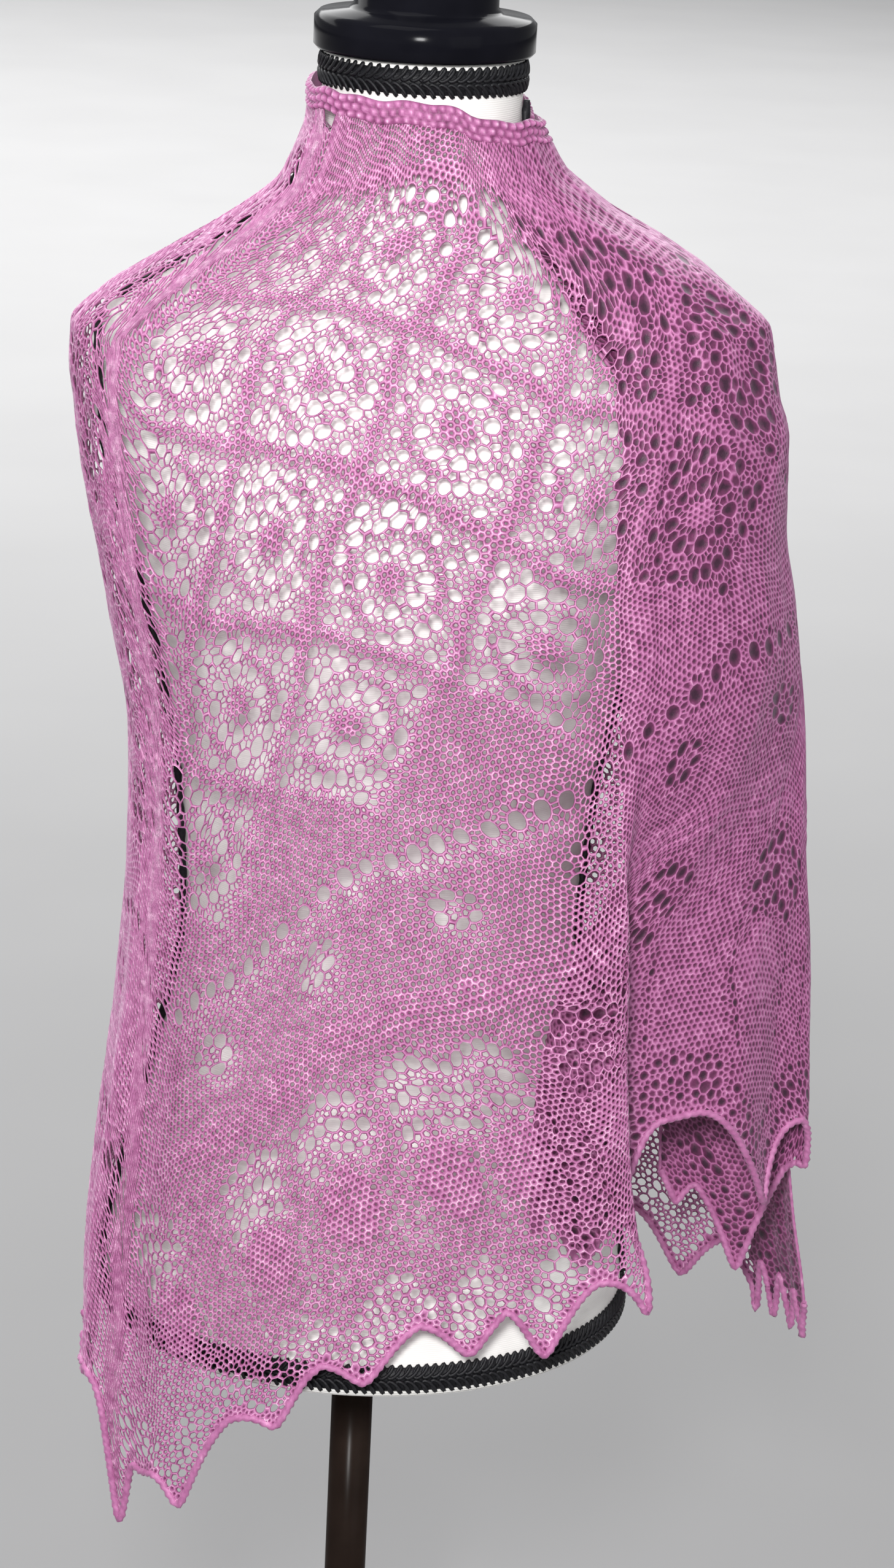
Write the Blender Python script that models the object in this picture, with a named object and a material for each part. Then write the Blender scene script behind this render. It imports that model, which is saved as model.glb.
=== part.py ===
"""A hand-knitted lace shawl wound round a limbless dress form on a pole stand.

Metres, +Z up, with the origin under the middle of the base. The wearer's front faces -Y.
Sizes in the tables are millimetres; "down" is the distance below the top of the neck.
"""

import math

import bmesh
import bpy
import numpy as np
from mathutils import Vector
from mathutils.geometry import delaunay_2d_cdt

MM = 0.001
NECK_TOP = 1280.0
CLOTH = 1.6
SEAM_GAP = 0.3
BAND_HEIGHT = 13.0
BAND_THICK = 3.6
BAND_GAP = 0.7
RING_POWER = 2.3

# The wrap at each level: how far the cloth lies from the axis to the left, the right, the front and
# the back, and how far the first end lies under it at the right and at the front.
LEVEL_COLUMNS = ("down", "left", "right", "front", "back", "under_right", "under_front")
LEVELS = (
    (10, 55, 76, 64, 63, 69, 58),
    (37, 56, 77, 66, 66, 70, 60),
    (50, 60, 84, 69, 70, 77, 63),
    (64, 66, 94, 73, 74, 86, 67),
    (74, 71, 106, 76, 78, 98, 70),
    (86, 84, 123, 80, 84, 115, 74),
    (105, 111, 160, 88, 94, 151, 81),
    (117, 130, 181, 93, 99, 172, 86),
    (134, 157, 203, 100, 106, 194, 93),
    (144, 171, 214, 104, 110, 204, 97),
    (163, 189, 219, 111, 115, 209, 103),
    (182, 190, 223, 117, 118, 213, 109),
    (209, 186, 231, 125, 122, 220, 114),
    (259, 177, 232, 134, 124, 219, 100),
    (310, 167, 241, 139, 123, 222, 80),
    (386, 152, 250, 142, 121, 228, 60),
    (440, 149, 256, 144, 120, 234, 55),
    (540, 153, 266, 148, 126, 246, 55),
    (613, 159, 270, 152, 136, 256, 55),
    (718, 169, 279, 158, 152, 274, 55),
    (810, 172, 285, 161, 163, 290, 55),
    (880, 170, 288, 162, 168, 293, 55),
)

# The fold at the right side: where its ridge lies as a share of the right reach, how far it laps over
# the fold behind it, where the free end stops short of the outer fold, and the angle of the first end.
FOLD_COLUMNS = ("down", "ridge_share", "lap", "end_short", "end_front", "first_end_angle")
FOLDS = (
    (10, 0.50, 0, 8, 10, 46),
    (60, 0.52, 0, 8, 10, 40),
    (100, 0.54, 0, 8, 10, 30),
    (134, 0.55, 0, 8, 10, 28),
    (165, 0.555, 0, 8, 10, 34),
    (209, 0.555, 0, 8, 12, 56),
    (260, 0.555, 0, 8, 16, 64),
    (310, 0.555, 0, 10, 20, 76),
    (371, 0.555, 10, 40, 22, 92),
    (489, 0.569, 38, 74, 6, 97),
    (586, 0.576, 52, 86, -6, 98),
    (661, 0.605, 62, 90, -10, 98),
    (722, 0.635, 70, 92, -12, 98),
    (880, 0.65, 74, 94, -14, 99),
)

# Knots along each sheet. The outer sheet runs from the left side round the front to the free end, and
# the inner one from the left side round the back to the first end, under the outer one.
OUTER_ANGLES = (-90, -62, -34, -6)
OUTER_LAST = 11
FREE_END_TOP = 374.0
INNER_ANGLES = (-90, -120, -150, -180, -210, -240)
INNER_LAST = 8

EDGE_COLUMNS = ("knot", "top", "valley")
OUTER_EDGE = (
    (0, 18, 794),
    (0.5, 18, 800),
    (0.95, 18, 787),
    (1.2, 18, 800),
    (1.36, 18, 838),
    (1.6, 18, 842),
    (1.9, 19, 826),
    (2.4, 19, 790),
    (3, 19, 744),
    (3.5, 20, 716),
    (4, 22, 703),
    (4.5, 24, 692),
    (5, 27, 664),
    (6, 29, 640),
    (7, 31, 612),
    (8, 34, 606),
    (9, 36, 640),
    (10, 44, 700),
    (11, 50, 680),
)
INNER_EDGE = (
    (0, 18, 795),
    (1, 15, 788),
    (2, 12, 776),
    (3, 10, 768),
    (4, 14, 766),
    (5, 24, 770),
    (6, 34, 774),
    (7, 42, 776),
    (8, 52, 778),
)

TOOTH_COLUMNS = ("knot", "reach", "depth")
OUTER_TEETH = (
    (0.14, 0.26, 34),
    (0.62, 0.22, 14),
    (1.32, 0.13, 50),
    (2.08, 0.33, 36),
    (2.80, 0.32, 26),
    (3.28, 0.24, 26),
    (3.78, 0.24, 27),
    (4.19, 0.27, 38),
    (4.90, 0.32, 44),
    (5.55, 0.28, 40),
    (6.10, 0.26, 40),
    (6.75, 0.36, 44),
    (8.25, 0.55, 66),
    (9.15, 0.30, 20),
    (10.05, 0.50, 46),
    (10.80, 0.24, 20),
)
INNER_TEETH = (
    (0.35, 0.32, 36),
    (1.00, 0.33, 36),
    (1.65, 0.32, 36),
    (2.30, 0.32, 36),
    (2.90, 0.28, 36),
    (3.45, 0.26, 36),
    (3.95, 0.24, 36),
    (4.50, 0.30, 38),
    (5.10, 0.30, 42),
    (5.75, 0.34, 36),
    (6.60, 0.50, 34),
    (7.55, 0.44, 30),
)

# Soft hanging folds: where each crest lies, its half width in knots, its height, and where it starts.
RIPPLE_COLUMNS = ("knot", "half", "height", "from_down", "full_down")
OUTER_RIPPLES = (
    (0.45, 0.32, -6, 420, 760),
    (1.02, 0.26, 9, 380, 760),
    (1.45, 0.26, -6, 420, 760),
    (3.0, 0.5, 4, 500, 740),
    (4.1, 0.4, -4, 460, 700),
    (7.9, 0.4, 7, 420, 640),
    (8.5, 0.3, -6, 420, 640),
)
INNER_RIPPLES = (
    (1.2, 0.45, 10, 300, 760),
    (2.2, 0.45, 9, 260, 760),
    (3.2, 0.45, 12, 260, 760),
    (4.1, 0.38, 9, 300, 760),
    (4.75, 0.22, 5, 320, 760),
)

TORSO_COLUMNS = ("down", "side", "front", "back", "middle")
TORSO = (
    (0, 57, 54, 55, 8),
    (45, 57, 55, 57, 8),
    (60, 62, 60, 62, 8),
    (74, 67, 64, 68, 7),
    (90, 80, 69, 74, 6),
    (112, 110, 74, 84, 5),
    (132, 140, 82, 92, 5),
    (147, 164, 88, 98, 5),
    (160, 179, 92, 102, 5),
    (178, 183, 98, 106, 5),
    (210, 180, 110, 111, 5),
    (250, 168, 120, 113, 5),
    (300, 152, 118, 110, 5),
    (360, 137, 104, 98, 5),
    (440, 124, 92, 86, 5),
    (515, 120, 90, 86, 5),
    (580, 128, 100, 98, 4),
    (660, 145, 122, 122, 4),
    (720, 157, 138, 138, 3),
    (769, 163, 148, 146, 3),
)
TORSO_DOWN = 769.0
TORSO_SIDES = 32

POLE_RADIUS = 13.0
COLLAR = {"radius": 24.0, "height": 16.0}
BASE = {"radius": 185.0, "height": 12.0, "crown": 9.0}
CAP_PROFILE = ((0, 0.3), (61, 0.3), (63, 2.5), (63, 18), (60, 21), (44, 23), (41, 26), (41, 42), (38, 45), (0, 45))
BRAID = {"width": 17.0, "thick": 3.0}
CORD_RADIUS = 2.2
CORD_CLEAR = {"shoulder": 1.4, "armhole": 1.4, "side": 0.75}


def clear_scene():
    for old in list(bpy.data.objects):
        bpy.data.objects.remove(old, do_unlink=True)


def table(rows, columns):
    return {name: np.array([row[i] for row in rows], float) for i, name in enumerate(columns)}


def smooth(columns, key, name, at):
    """A smooth curve through a table's rows that never overshoots them."""
    x, y = columns[key], columns[name]
    step = np.diff(x)
    slope = np.diff(y) / step
    inner = np.where(slope[:-1] * slope[1:] > 0, 2 * slope[:-1] * slope[1:] / (slope[:-1] + slope[1:] + 1e-12), 0)
    tangent = np.concatenate([[slope[0]], inner, [slope[-1]]])
    at = np.clip(at, x[0], x[-1])
    i = np.clip(np.searchsorted(x, at, side="right") - 1, 0, len(x) - 2)
    u = (at - x[i]) / step[i]
    rise = y[i] * (1 + 2 * u) * (1 - u) ** 2 + y[i + 1] * u * u * (3 - 2 * u)
    return rise + step[i] * (tangent[i] * u * (1 - u) ** 2 - tangent[i + 1] * u * u * (1 - u))


def ease(value, low, high):
    share = np.clip((value - low) / (high - low), 0, 1)
    return share * share * (3 - 2 * share)


LEVEL = table(LEVELS, LEVEL_COLUMNS)
FOLD = table(FOLDS, FOLD_COLUMNS)
FORM = table(TORSO, TORSO_COLUMNS)


def level(name, down):
    return smooth(LEVEL, "down", name, down)


def fold(name, down):
    return smooth(FOLD, "down", name, down)


def on_ring(down, angle, right, front, inset=0.0):
    """A plan point at an angle from the front, turning towards the right."""
    turn = np.radians(angle)
    sine, cosine = np.sin(turn), np.cos(turn)
    side = np.where(sine > 0, right, level("left", down)) - inset
    depth = np.where(cosine > 0, front, level("back", down)) - inset
    power = 2 / RING_POWER
    x = side * np.sign(sine) * np.abs(sine) ** power
    y = -depth * np.sign(cosine) * np.abs(cosine) ** power
    return np.stack([x, y], -1)


def ring_angle(share):
    return np.degrees(np.arcsin(share ** (RING_POWER / 2)))


def outer_knots(down):
    """The outer sheet's plan points at a level, from left to free end, with one more before it."""
    right, front = level("right", down), level("front", down)
    ring = lambda angle, inset=0.0: on_ring(down, angle, right, front, inset)
    folded = ease(down, 330, 560)[..., None]
    share = fold("ridge_share", down)
    ridge = ring(ring_angle(share))
    behind = ridge + np.stack([-fold("lap", down), 24 + 0 * down], -1)
    first = ridge + np.stack([8 + 0 * down, 40 + 0 * down], -1)
    second = np.stack([0.42 * ridge[..., 0] + 0.58 * right, 0.30 * ridge[..., 1] - 20], -1)
    turn = ring(112.0 - 22 * ease(down, 240, 380)) + np.stack([0 * down, -10 * ease(down, 200, 400)], -1)
    end = np.stack([right - fold("end_short", down), -fold("end_front", down)], -1)
    half = (turn + end) / 2 + np.stack([0 * down + 4, 6 + 0 * down], -1)
    knots = [ring(-118.0)]
    knots += [ring(float(angle)) for angle in OUTER_ANGLES]
    knots.append(ring(0.5 * ring_angle(share) - 1))
    knots.append(ridge)
    for way, place in ((0.14, behind), (0.46, first), (0.84, second)):
        angle = ring_angle(share) * (1 - way) + 90 * way
        knots.append((1 - folded) * ring(angle) + folded * place)
    knots.append(turn)
    knots += [half, end]
    return knots


def inner_knots(down):
    """The inner sheet's plan points at a level, from left round the back to the first end."""
    right, front = level("under_right", down), level("under_front", down)
    ring = lambda angle: on_ring(down, angle, right, front)
    first_end = fold("first_end_angle", down)
    knots = [ring(-62.0)]
    knots += [ring(float(angle)) for angle in INNER_ANGLES]
    for share in (0.4, 0.7, 1.0):
        knots.append(ring(120 + (first_end - 120) * share))
    return knots


def through(knots, at):
    """A curve through the knots; at counts knots from the second one."""
    points = np.stack(knots + [2 * knots[-1] - knots[-2]], -2)
    last = len(knots) - 2
    i = np.clip(np.floor(at).astype(int), 0, last - 1)
    u = (at - i)[..., None]
    pick = lambda k: np.take_along_axis(points, (i + k)[..., None, None], -2)[..., 0, :]
    before, start, stop, after = pick(0), pick(1), pick(2), pick(3)
    span = np.linalg.norm(stop - start, axis=-1, keepdims=True) + 1e-9
    lead = span / (np.linalg.norm(start - before, axis=-1, keepdims=True) + span)
    tail = span / (np.linalg.norm(after - stop, axis=-1, keepdims=True) + span)
    leave = lead * (stop - before)
    arrive = tail * (after - start)
    curve = start * (1 + 2 * u) * (1 - u) ** 2 + stop * u * u * (3 - 2 * u)
    return curve + leave * u * (1 - u) ** 2 - arrive * u * u * (1 - u)


class Sheet:
    """One knitted sheet as a surface over knot and down."""

    def __init__(self, knots, edge, teeth, ripples):
        self.knots = knots
        self.edge = table(edge, EDGE_COLUMNS)
        self.teeth = teeth
        self.ripples = ripples

    def bare(self, at, down):
        return through(self.knots(down), at)

    def plan(self, at, down):
        """Plan points with the soft hanging folds raised along the ring's normal."""
        place = self.bare(at, down)
        step = self.bare(at + 0.02, down) - self.bare(at - 0.02, down)
        normal = np.stack([step[..., 1], -step[..., 0]], -1)
        normal /= np.linalg.norm(normal, axis=-1, keepdims=True) + 1e-9
        height = 0.0 * at
        for knot, half, crest, start, full in self.ripples:
            bump = np.clip(1 - np.abs(at - knot) / (1.6 * half), 0, 1)
            height = height + crest * bump * bump * (3 - 2 * bump) * ease(down, start, full)
        outward = np.sign((normal * place).sum(-1))
        return place + normal * (outward * height)[..., None]

    def point(self, at, down):
        at, down = np.broadcast_arrays(np.asarray(at, float), np.asarray(down, float))
        flat = self.plan(at, down)
        return np.concatenate([flat, (NECK_TOP - down)[..., None]], -1)

    def normal(self, at, down):
        along = self.point(at + 0.01, down) - self.point(at - 0.01, down)
        fall = self.point(at, down + 1.0) - self.point(at, down - 1.0)
        normal = np.cross(along, fall)
        return normal / (np.linalg.norm(normal, axis=-1, keepdims=True) + 1e-9)

    def spans(self, at, down):
        """Millimetres along the sheet for one knot and for one millimetre down."""
        along = self.point(at + 0.01, down) - self.point(at - 0.01, down)
        fall = self.point(at, down + 1.0) - self.point(at, down - 1.0)
        return np.linalg.norm(along, axis=-1) / 0.02, np.linalg.norm(fall, axis=-1) / 2

    def top(self, at):
        return smooth(self.edge, "knot", "top", at)

    def valley(self, at):
        return smooth(self.edge, "knot", "valley", at)

    def tooth(self, at):
        """How far the hem hangs below its valleys."""
        drop = 0.0 * np.asarray(at, float)
        for knot, reach, depth in self.teeth:
            near = np.clip(1 - np.abs(at - knot) / reach, 0, 1)
            drop = np.maximum(drop, depth * near**1.6)
        return drop

    def hem(self, at):
        return self.valley(at) + self.tooth(at)


OUTER = Sheet(outer_knots, OUTER_EDGE, OUTER_TEETH, OUTER_RIPPLES)
INNER = Sheet(inner_knots, INNER_EDGE, INNER_TEETH, INNER_RIPPLES)


OUTER_PLAN = {"lean": 0.407, "middle": 3.0, "first": 0.0, "last": 11.0}
INNER_PLAN = {"lean": 0.0, "middle": 3.0, "first": 0.0, "last": 8.0}
EYELET_APART = 8.2
SLOPE_ZONE = (84.0, 146.0, 1.45)


def slope_length(down):
    """Distance along the cloth for a distance down, longer over the shoulders."""
    start, stop, factor = SLOPE_ZONE
    return down + (factor - 1) * np.clip(down - start, 0, stop - start)


def slope_down(length):
    start, stop, factor = SLOPE_ZONE
    end = start + factor * (stop - start)
    inside_zone = start + (np.clip(length, start, end) - start) / factor
    return np.where(length < start, length, np.where(length > end, length - (end - stop), inside_zone))


class Chart:
    """A sheet unrolled into rows of stitches: across is measured along a row, up is height above the hem."""

    def __init__(self, sheet, plan, row_step, knot_step):
        self.sheet, self.plan = sheet, plan
        self.grid = np.arange(plan["first"] - 0.12, plan["last"] + 0.121, knot_step)
        self.hem_length = slope_length(sheet.valley(self.grid))
        self.rows = np.arange(-68.0, 830.0, row_step)
        self.arc = np.array([self.row_arc(up) for up in self.rows])
        teeth = np.array([tooth[0] for tooth in sheet.teeth])
        self.points = self.across(teeth, self.sheet.valley(teeth) - 60.0)

    def row_arc(self, up):
        place = self.sheet.point(self.grid, slope_down(self.hem_length - up))
        run = np.concatenate([[0], np.cumsum(np.linalg.norm(np.diff(place, axis=0), axis=1))])
        return run - np.interp(self.plan["middle"], self.grid, run) + self.plan["lean"] * up

    def row_share(self, up):
        row = np.clip((up - self.rows[0]) / (self.rows[1] - self.rows[0]), 0, len(self.rows) - 1.001)
        low = np.floor(row).astype(int)
        return low, row - low

    def up(self, knot, down):
        return slope_length(self.sheet.valley(knot)) - slope_length(down)

    def down(self, knot, up):
        return slope_down(slope_length(self.sheet.valley(knot)) - up)

    def across(self, knot, down):
        low, share = self.row_share(self.up(knot, down))
        column = np.clip((knot - self.grid[0]) / (self.grid[1] - self.grid[0]), 0, len(self.grid) - 1.001)
        left = np.floor(column).astype(int)
        part = column - left
        near = self.arc[low, left] * (1 - part) + self.arc[low, left + 1] * part
        far = self.arc[low + 1, left] * (1 - part) + self.arc[low + 1, left + 1] * part
        return near * (1 - share) + far * share

    def knot(self, across, up):
        """Knots for chart places."""
        across, up = np.atleast_1d(across).astype(float), np.atleast_1d(up).astype(float)
        low, share = self.row_share(up)
        place = np.empty(len(across))
        for i in np.unique(low):
            mine = low == i
            first = np.interp(across[mine], self.arc[i], self.grid)
            second = np.interp(across[mine], self.arc[i + 1], self.grid)
            place[mine] = first * (1 - share[mine]) + second * share[mine]
        return place

    def holds(self, across, up, first, last):
        """Whether a chart place lies on the cloth between two knots."""
        knot = float(self.knot(across, up)[0])
        down = float(self.down(knot, up))
        return first < knot < last and float(self.sheet.top(knot)) + BAND_HEIGHT + 4 < down < float(self.sheet.hem(knot)) - 4


# The lace, in millimetres across the rows of stitches and up from the hem's valleys.
FIELD = {"wide": 121.0, "tall": 136.0, "across": 161.0, "up": 385.0}
ROSE = {"count": 8, "ring": 22.0, "half_wide": 4.1, "half_high": 4.7}
LADDER = {"count": 5, "reach": 38.0, "spread": 36.0, "half_wide": 3.1, "half_high": 5.4}
CHAIN = {"inset": 0.125, "count": 6, "half": 2.8}
EYELET_ROW = {"up": 290.0, "apart": 15.5, "half_wide": 4.0, "half_high": 5.8}
FLOWERS = {"up": 249.0, "apart": 84.0, "first": 8.0, "ring": 11.2, "petals": 6, "half": 3.6}
ARCH_COLUMNS = ("up", "steps", "apart", "half_high")
ARCHES = ((162, 5, 8.6, 5.2), (143, 5, 8.0, 4.6), (126, 3, 7.6, 4.2))
ARCH_FALL = 0.62


def rose_centres(chart, first, last):
    """Centres of the rosettes, set half-drop, on the cloth between two knots."""
    centres = []
    for row in range(0, 8):
        up = FIELD["up"] + row * FIELD["tall"] / 2
        for column in range(-6, 9):
            across = FIELD["across"] + (column + 0.5 * (row % 2)) * FIELD["wide"]
            if chart.holds(across, up, first, last):
                centres.append((across, up))
    return centres


def rosette(across, up):
    """The ring of eyelets of one rosette, then the ladder below it and the chains along its frame."""
    ring = []
    for i in range(ROSE["count"]):
        turn = 2 * math.pi * (i + 0.5) / ROSE["count"]
        place = (across + ROSE["ring"] * math.sin(turn), up + ROSE["ring"] * math.cos(turn))
        ring.append((*place, ROSE["half_wide"], ROSE["half_high"]))
    ladder = []
    for i in range(LADDER["count"]):
        turn = math.radians(LADDER["spread"]) * (2 * i / (LADDER["count"] - 1) - 1)
        place = (across + LADDER["reach"] * math.sin(turn), up - LADDER["reach"] * math.cos(turn))
        ladder.append((*place, LADDER["half_wide"], LADDER["half_high"]))
    chains = []
    inner = 1 - 2 * CHAIN["inset"]
    for side in (-1, 1):
        for end in (-1, 1):
            for i in range(CHAIN["count"]):
                share = (i + 0.5) / CHAIN["count"]
                x = side * share * inner * FIELD["wide"] / 2
                y = end * (1 - share) * inner * FIELD["tall"] / 2
                chains.append((across + x, up + y, CHAIN["half"], CHAIN["half"]))
    return ring, ladder, chains


def eyelet_row(chart, first, last):
    row = []
    for i in range(-20, 50):
        across = i * EYELET_ROW["apart"]
        if chart.holds(across, EYELET_ROW["up"], first, last):
            row.append((across, EYELET_ROW["up"], EYELET_ROW["half_wide"], EYELET_ROW["half_high"]))
    return row


def flowers(chart, first, last):
    petals = []
    for i in range(-4, 9):
        across = FLOWERS["first"] + i * FLOWERS["apart"]
        if chart.holds(across, FLOWERS["up"], first, last):
            for k in range(FLOWERS["petals"]):
                turn = 2 * math.pi * (k + 0.5) / FLOWERS["petals"]
                place = (across + FLOWERS["ring"] * math.cos(turn), FLOWERS["up"] + FLOWERS["ring"] * math.sin(turn))
                petals.append((*place, FLOWERS["half"], FLOWERS["half"]))
    return petals


def arches(chart, first, last):
    """Ladders of eyelets, stepped down from the middle of each point of the hem."""
    ladders = []
    for middle in chart.points:
        for up, steps, apart, half_high in ARCHES:
            for i in range(steps):
                shift = apart * (i - (steps - 1) / 2)
                place = (middle + shift, up - ARCH_FALL * abs(shift))
                if chart.holds(*place, first, last):
                    ladders.append((*place, 2.9, half_high))
    return ladders


def on_cloth(chart, holes):
    """Chart holes as (knot, down, half width, half height)."""
    across, up, wide, high = np.array(holes, float).T
    knot = chart.knot(across, up)
    return list(zip(knot, chart.down(knot, up), wide, high))


def front_holes(chart):
    """The largest gaps of each motif on the front panel."""
    holes = eyelet_row(chart, 1.0, 5.3) + flowers(chart, 1.0, 5.3)
    for across, up in rose_centres(chart, 1.0, 5.3):
        holes += rosette(across, up)[0]
    holes += [hole for hole in arches(chart, 1.0, 5.3) if hole[3] == ARCHES[0][3]]
    return on_cloth(chart, holes)


def side_holes(chart, first, last, roses=False):
    holes = eyelet_row(chart, first, last)
    for across, up in rose_centres(chart, first, last) if roses else ():
        holes += rosette(across, up)[0]
    return on_cloth(chart, holes)


def spread_out(sheet, holes):
    """The holes as (knot, down, half width in knots, half height in down), less any too near an earlier one."""
    if not holes:
        return []
    knot, down, wide, high = np.array(holes, float).T
    across, fall = sheet.spans(knot, down)
    place = sheet.point(knot, down)
    kept = []
    for i in range(len(holes)):
        if all(np.linalg.norm(place[i] - place[k]) > EYELET_APART for k in kept):
            kept.append(i)
    return [(knot[i], down[i], wide[i] / across[i], high[i] / fall[i]) for i in kept]


def hole_corners(knot, down, wide, high):
    """Six corners of an eyelet as (knot, down)."""
    turns = [math.pi / 6 + i * math.pi / 3 for i in range(6)]
    return [(knot + wide * math.cos(turn), down + high * math.sin(turn)) for turn in turns]


ROWS_DOWN = (0, 14, 28, 42, 54, 66, 80, 96, 112, 130, 152, 180, 212, 250, 292, 336, 382, 428, 474, 520, 566, 612, 658, 704, 750, 792)


def grid_knots(first, last, marks):
    """Evenly placed knots from first to last, with the marks among them."""
    inside = [m for m in marks if first < m < last]
    knots = [first, *inside, last]
    return sorted(knots)


def panel_mesh(sheet, first, last, marks, holes, starts):
    """Front and back skins with walls round every edge, as points and triangles in millimetres."""
    knots = grid_knots(first, last, marks)
    points, edges = [], []

    def add(knot, down):
        points.append((knot, down))
        return len(points) - 1

    top_of = lambda knot: starts or float(sheet.top(knot)) + BAND_HEIGHT + BAND_GAP
    top_row = [add(knot, top_of(knot)) for knot in knots]
    hem_knots = {round(first, 4), round(last, 4)}
    for knot, reach, _ in sheet.teeth:
        for share in (-1.0, -0.5, 0.0, 0.5, 1.0):
            place = knot + share * reach
            if first + 0.03 < place < last - 0.03:
                hem_knots.add(round(place, 4))
    hem_row = []
    for knot in sorted(hem_knots):
        if hem_row and knot - points[hem_row[-1]][0] < 0.035 and knot < last - 1e-3:
            continue
        hem_row.append(add(knot, float(sheet.hem(knot))))
    sides = []
    for knot, start, stop in ((first, top_row[0], hem_row[0]), (last, top_row[-1], hem_row[-1])):
        side = [start]
        for down in ROWS_DOWN:
            if points[start][1] + 8 < down < points[stop][1] - 12:
                side.append(add(knot, float(down)))
        side.append(stop)
        sides.append(side)
    border = top_row + sides[1][1:-1] + hem_row[::-1] + sides[0][1:-1][::-1]
    edges += [(a, b) for a, b in zip(border, border[1:] + border[:1])]
    loops = []
    for hole in spread_out(sheet, holes):
        corners = hole_corners(*hole)
        clear = all(
            first + 0.05 < knot < last - 0.05 and top_of(knot) + 6 < down < float(sheet.hem(knot)) - 9
            for knot, down in corners
        )
        if clear:
            ring = [add(*corner) for corner in corners]
            edges += list(zip(ring, ring[1:] + ring[:1]))
            loops.append((hole[0], hole[1], corners))
    centres = np.array([(loop[0], loop[1]) for loop in loops] or [(-9.0, -9.0)])
    rows = np.array(ROWS_DOWN, float)
    for knot in knots[1:-1]:
        across = sheet.spans(knot + 0 * rows, rows)[0]
        for down, span in zip(rows, across):
            if not top_of(knot) + 8 < down < float(sheet.hem(knot)) - 14:
                continue
            far = np.maximum(np.abs(centres[:, 1] - down), np.abs(centres[:, 0] - knot) * span)
            if far.min() > 10:
                add(knot, float(down))
    flat = [Vector((knot * 100.0, down)) for knot, down in points]
    made = delaunay_2d_cdt(flat, edges, [], 1, 1e-4)
    source = [group[0] if group else None for group in made[3]]
    if None in source or len(source) != len(points):
        raise ValueError(f"points of a panel fell together: {len(points)} became {len(source)}")
    triangles = []
    for face in made[2]:
        corner = [points[source[i]] for i in face]
        middle = (sum(c[0] for c in corner) / 3, sum(c[1] for c in corner) / 3)
        if any(inside(loop[2], middle) for loop in loops):
            continue
        triangles.append([source[i] for i in face])
    return np.array(points), np.array(triangles)


def inside(corners, place):
    """Whether a place lies in a convex loop of corners."""
    signs = []
    for (ax, ay), (bx, by) in zip(corners, corners[1:] + corners[:1]):
        signs.append((bx - ax) * (place[1] - ay) - (by - ay) * (place[0] - ax) > 0)
    return all(signs) or not any(signs)


def shrink_seams(sheet, places, first, last):
    """Moves the panel's two sides in by half a seam gap."""
    moved = places.copy()
    for side, way in ((first, 1), (last, -1)):
        on_side = np.abs(places[:, 0] - side) < 1e-6
        if on_side.any():
            span = sheet.spans(places[on_side, 0], places[on_side, 1])[0]
            moved[on_side, 0] += way * SEAM_GAP / 2 / span
    return moved


def solid_from_skin(name, outer_points, inner_points, triangles, material):
    """Closes two matching skins into one solid object."""
    count = len(outer_points)
    mesh = bpy.data.meshes.new(name)
    shape = bmesh.new()
    corners = [shape.verts.new(Vector(p) * MM) for p in outer_points]
    corners += [shape.verts.new(Vector(p) * MM) for p in inner_points]
    seen = {}
    for a, b, c in triangles:
        shape.faces.new((corners[a], corners[b], corners[c]))
        shape.faces.new((corners[count + c], corners[count + b], corners[count + a]))
        for edge in ((a, b), (b, c), (c, a)):
            seen[edge] = True
    for a, b in seen:
        if (b, a) not in seen:
            shape.faces.new((corners[b], corners[a], corners[count + a], corners[count + b]))
    loose = [v for v in shape.verts if not v.link_faces]
    bmesh.ops.delete(shape, geom=loose, context="VERTS")
    bmesh.ops.recalc_face_normals(shape, faces=shape.faces[:])
    shape.to_mesh(mesh)
    shape.free()
    mesh.materials.append(material)
    thing = bpy.data.objects.new(name, mesh)
    bpy.context.scene.collection.objects.link(thing)
    return thing


def panel(name, sheet, first, last, marks, holes, material, starts=None):
    places, triangles = panel_mesh(sheet, first, last, marks, holes, starts)
    moved = shrink_seams(sheet, places, first, last)
    middle = sheet.point(moved[:, 0], moved[:, 1])
    normal = sheet.normal(moved[:, 0], moved[:, 1])
    half = CLOTH / 2
    return solid_from_skin(name, middle + normal * half, middle - normal * half, triangles, material)


def edge_band(name, sheet, first, last, count, material):
    """The thick garter edge at the neck, as a rounded strip over the top of a sheet."""
    knots = np.linspace(first, last, count)
    section = ((0.5, 0.12), (0.5, 0.88), (0.18, 1.0), (-0.5, 0.85), (-0.5, 0.15), (0.18, 0.0))
    rings = []
    for out, share in section:
        at = knots.copy()
        down = sheet.top(at) + share * BAND_HEIGHT
        at[0] += SEAM_GAP / 2 / float(sheet.spans(at[0], down[0])[0])
        at[-1] -= SEAM_GAP / 2 / float(sheet.spans(at[-1], down[-1])[0])
        place = sheet.point(at, down)
        normal = sheet.normal(at, down)
        normal[:, 2] = 0
        normal /= np.linalg.norm(normal, axis=1, keepdims=True)
        outward = np.sign((normal[:, :2] * place[:, :2]).sum(1))[:, None]
        thick = BAND_THICK if out > 0 else CLOTH * 1.2
        rings.append(place + normal * outward * out * thick)
    return tube_from_rings(name, np.array(rings).transpose(1, 0, 2), material)


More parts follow.
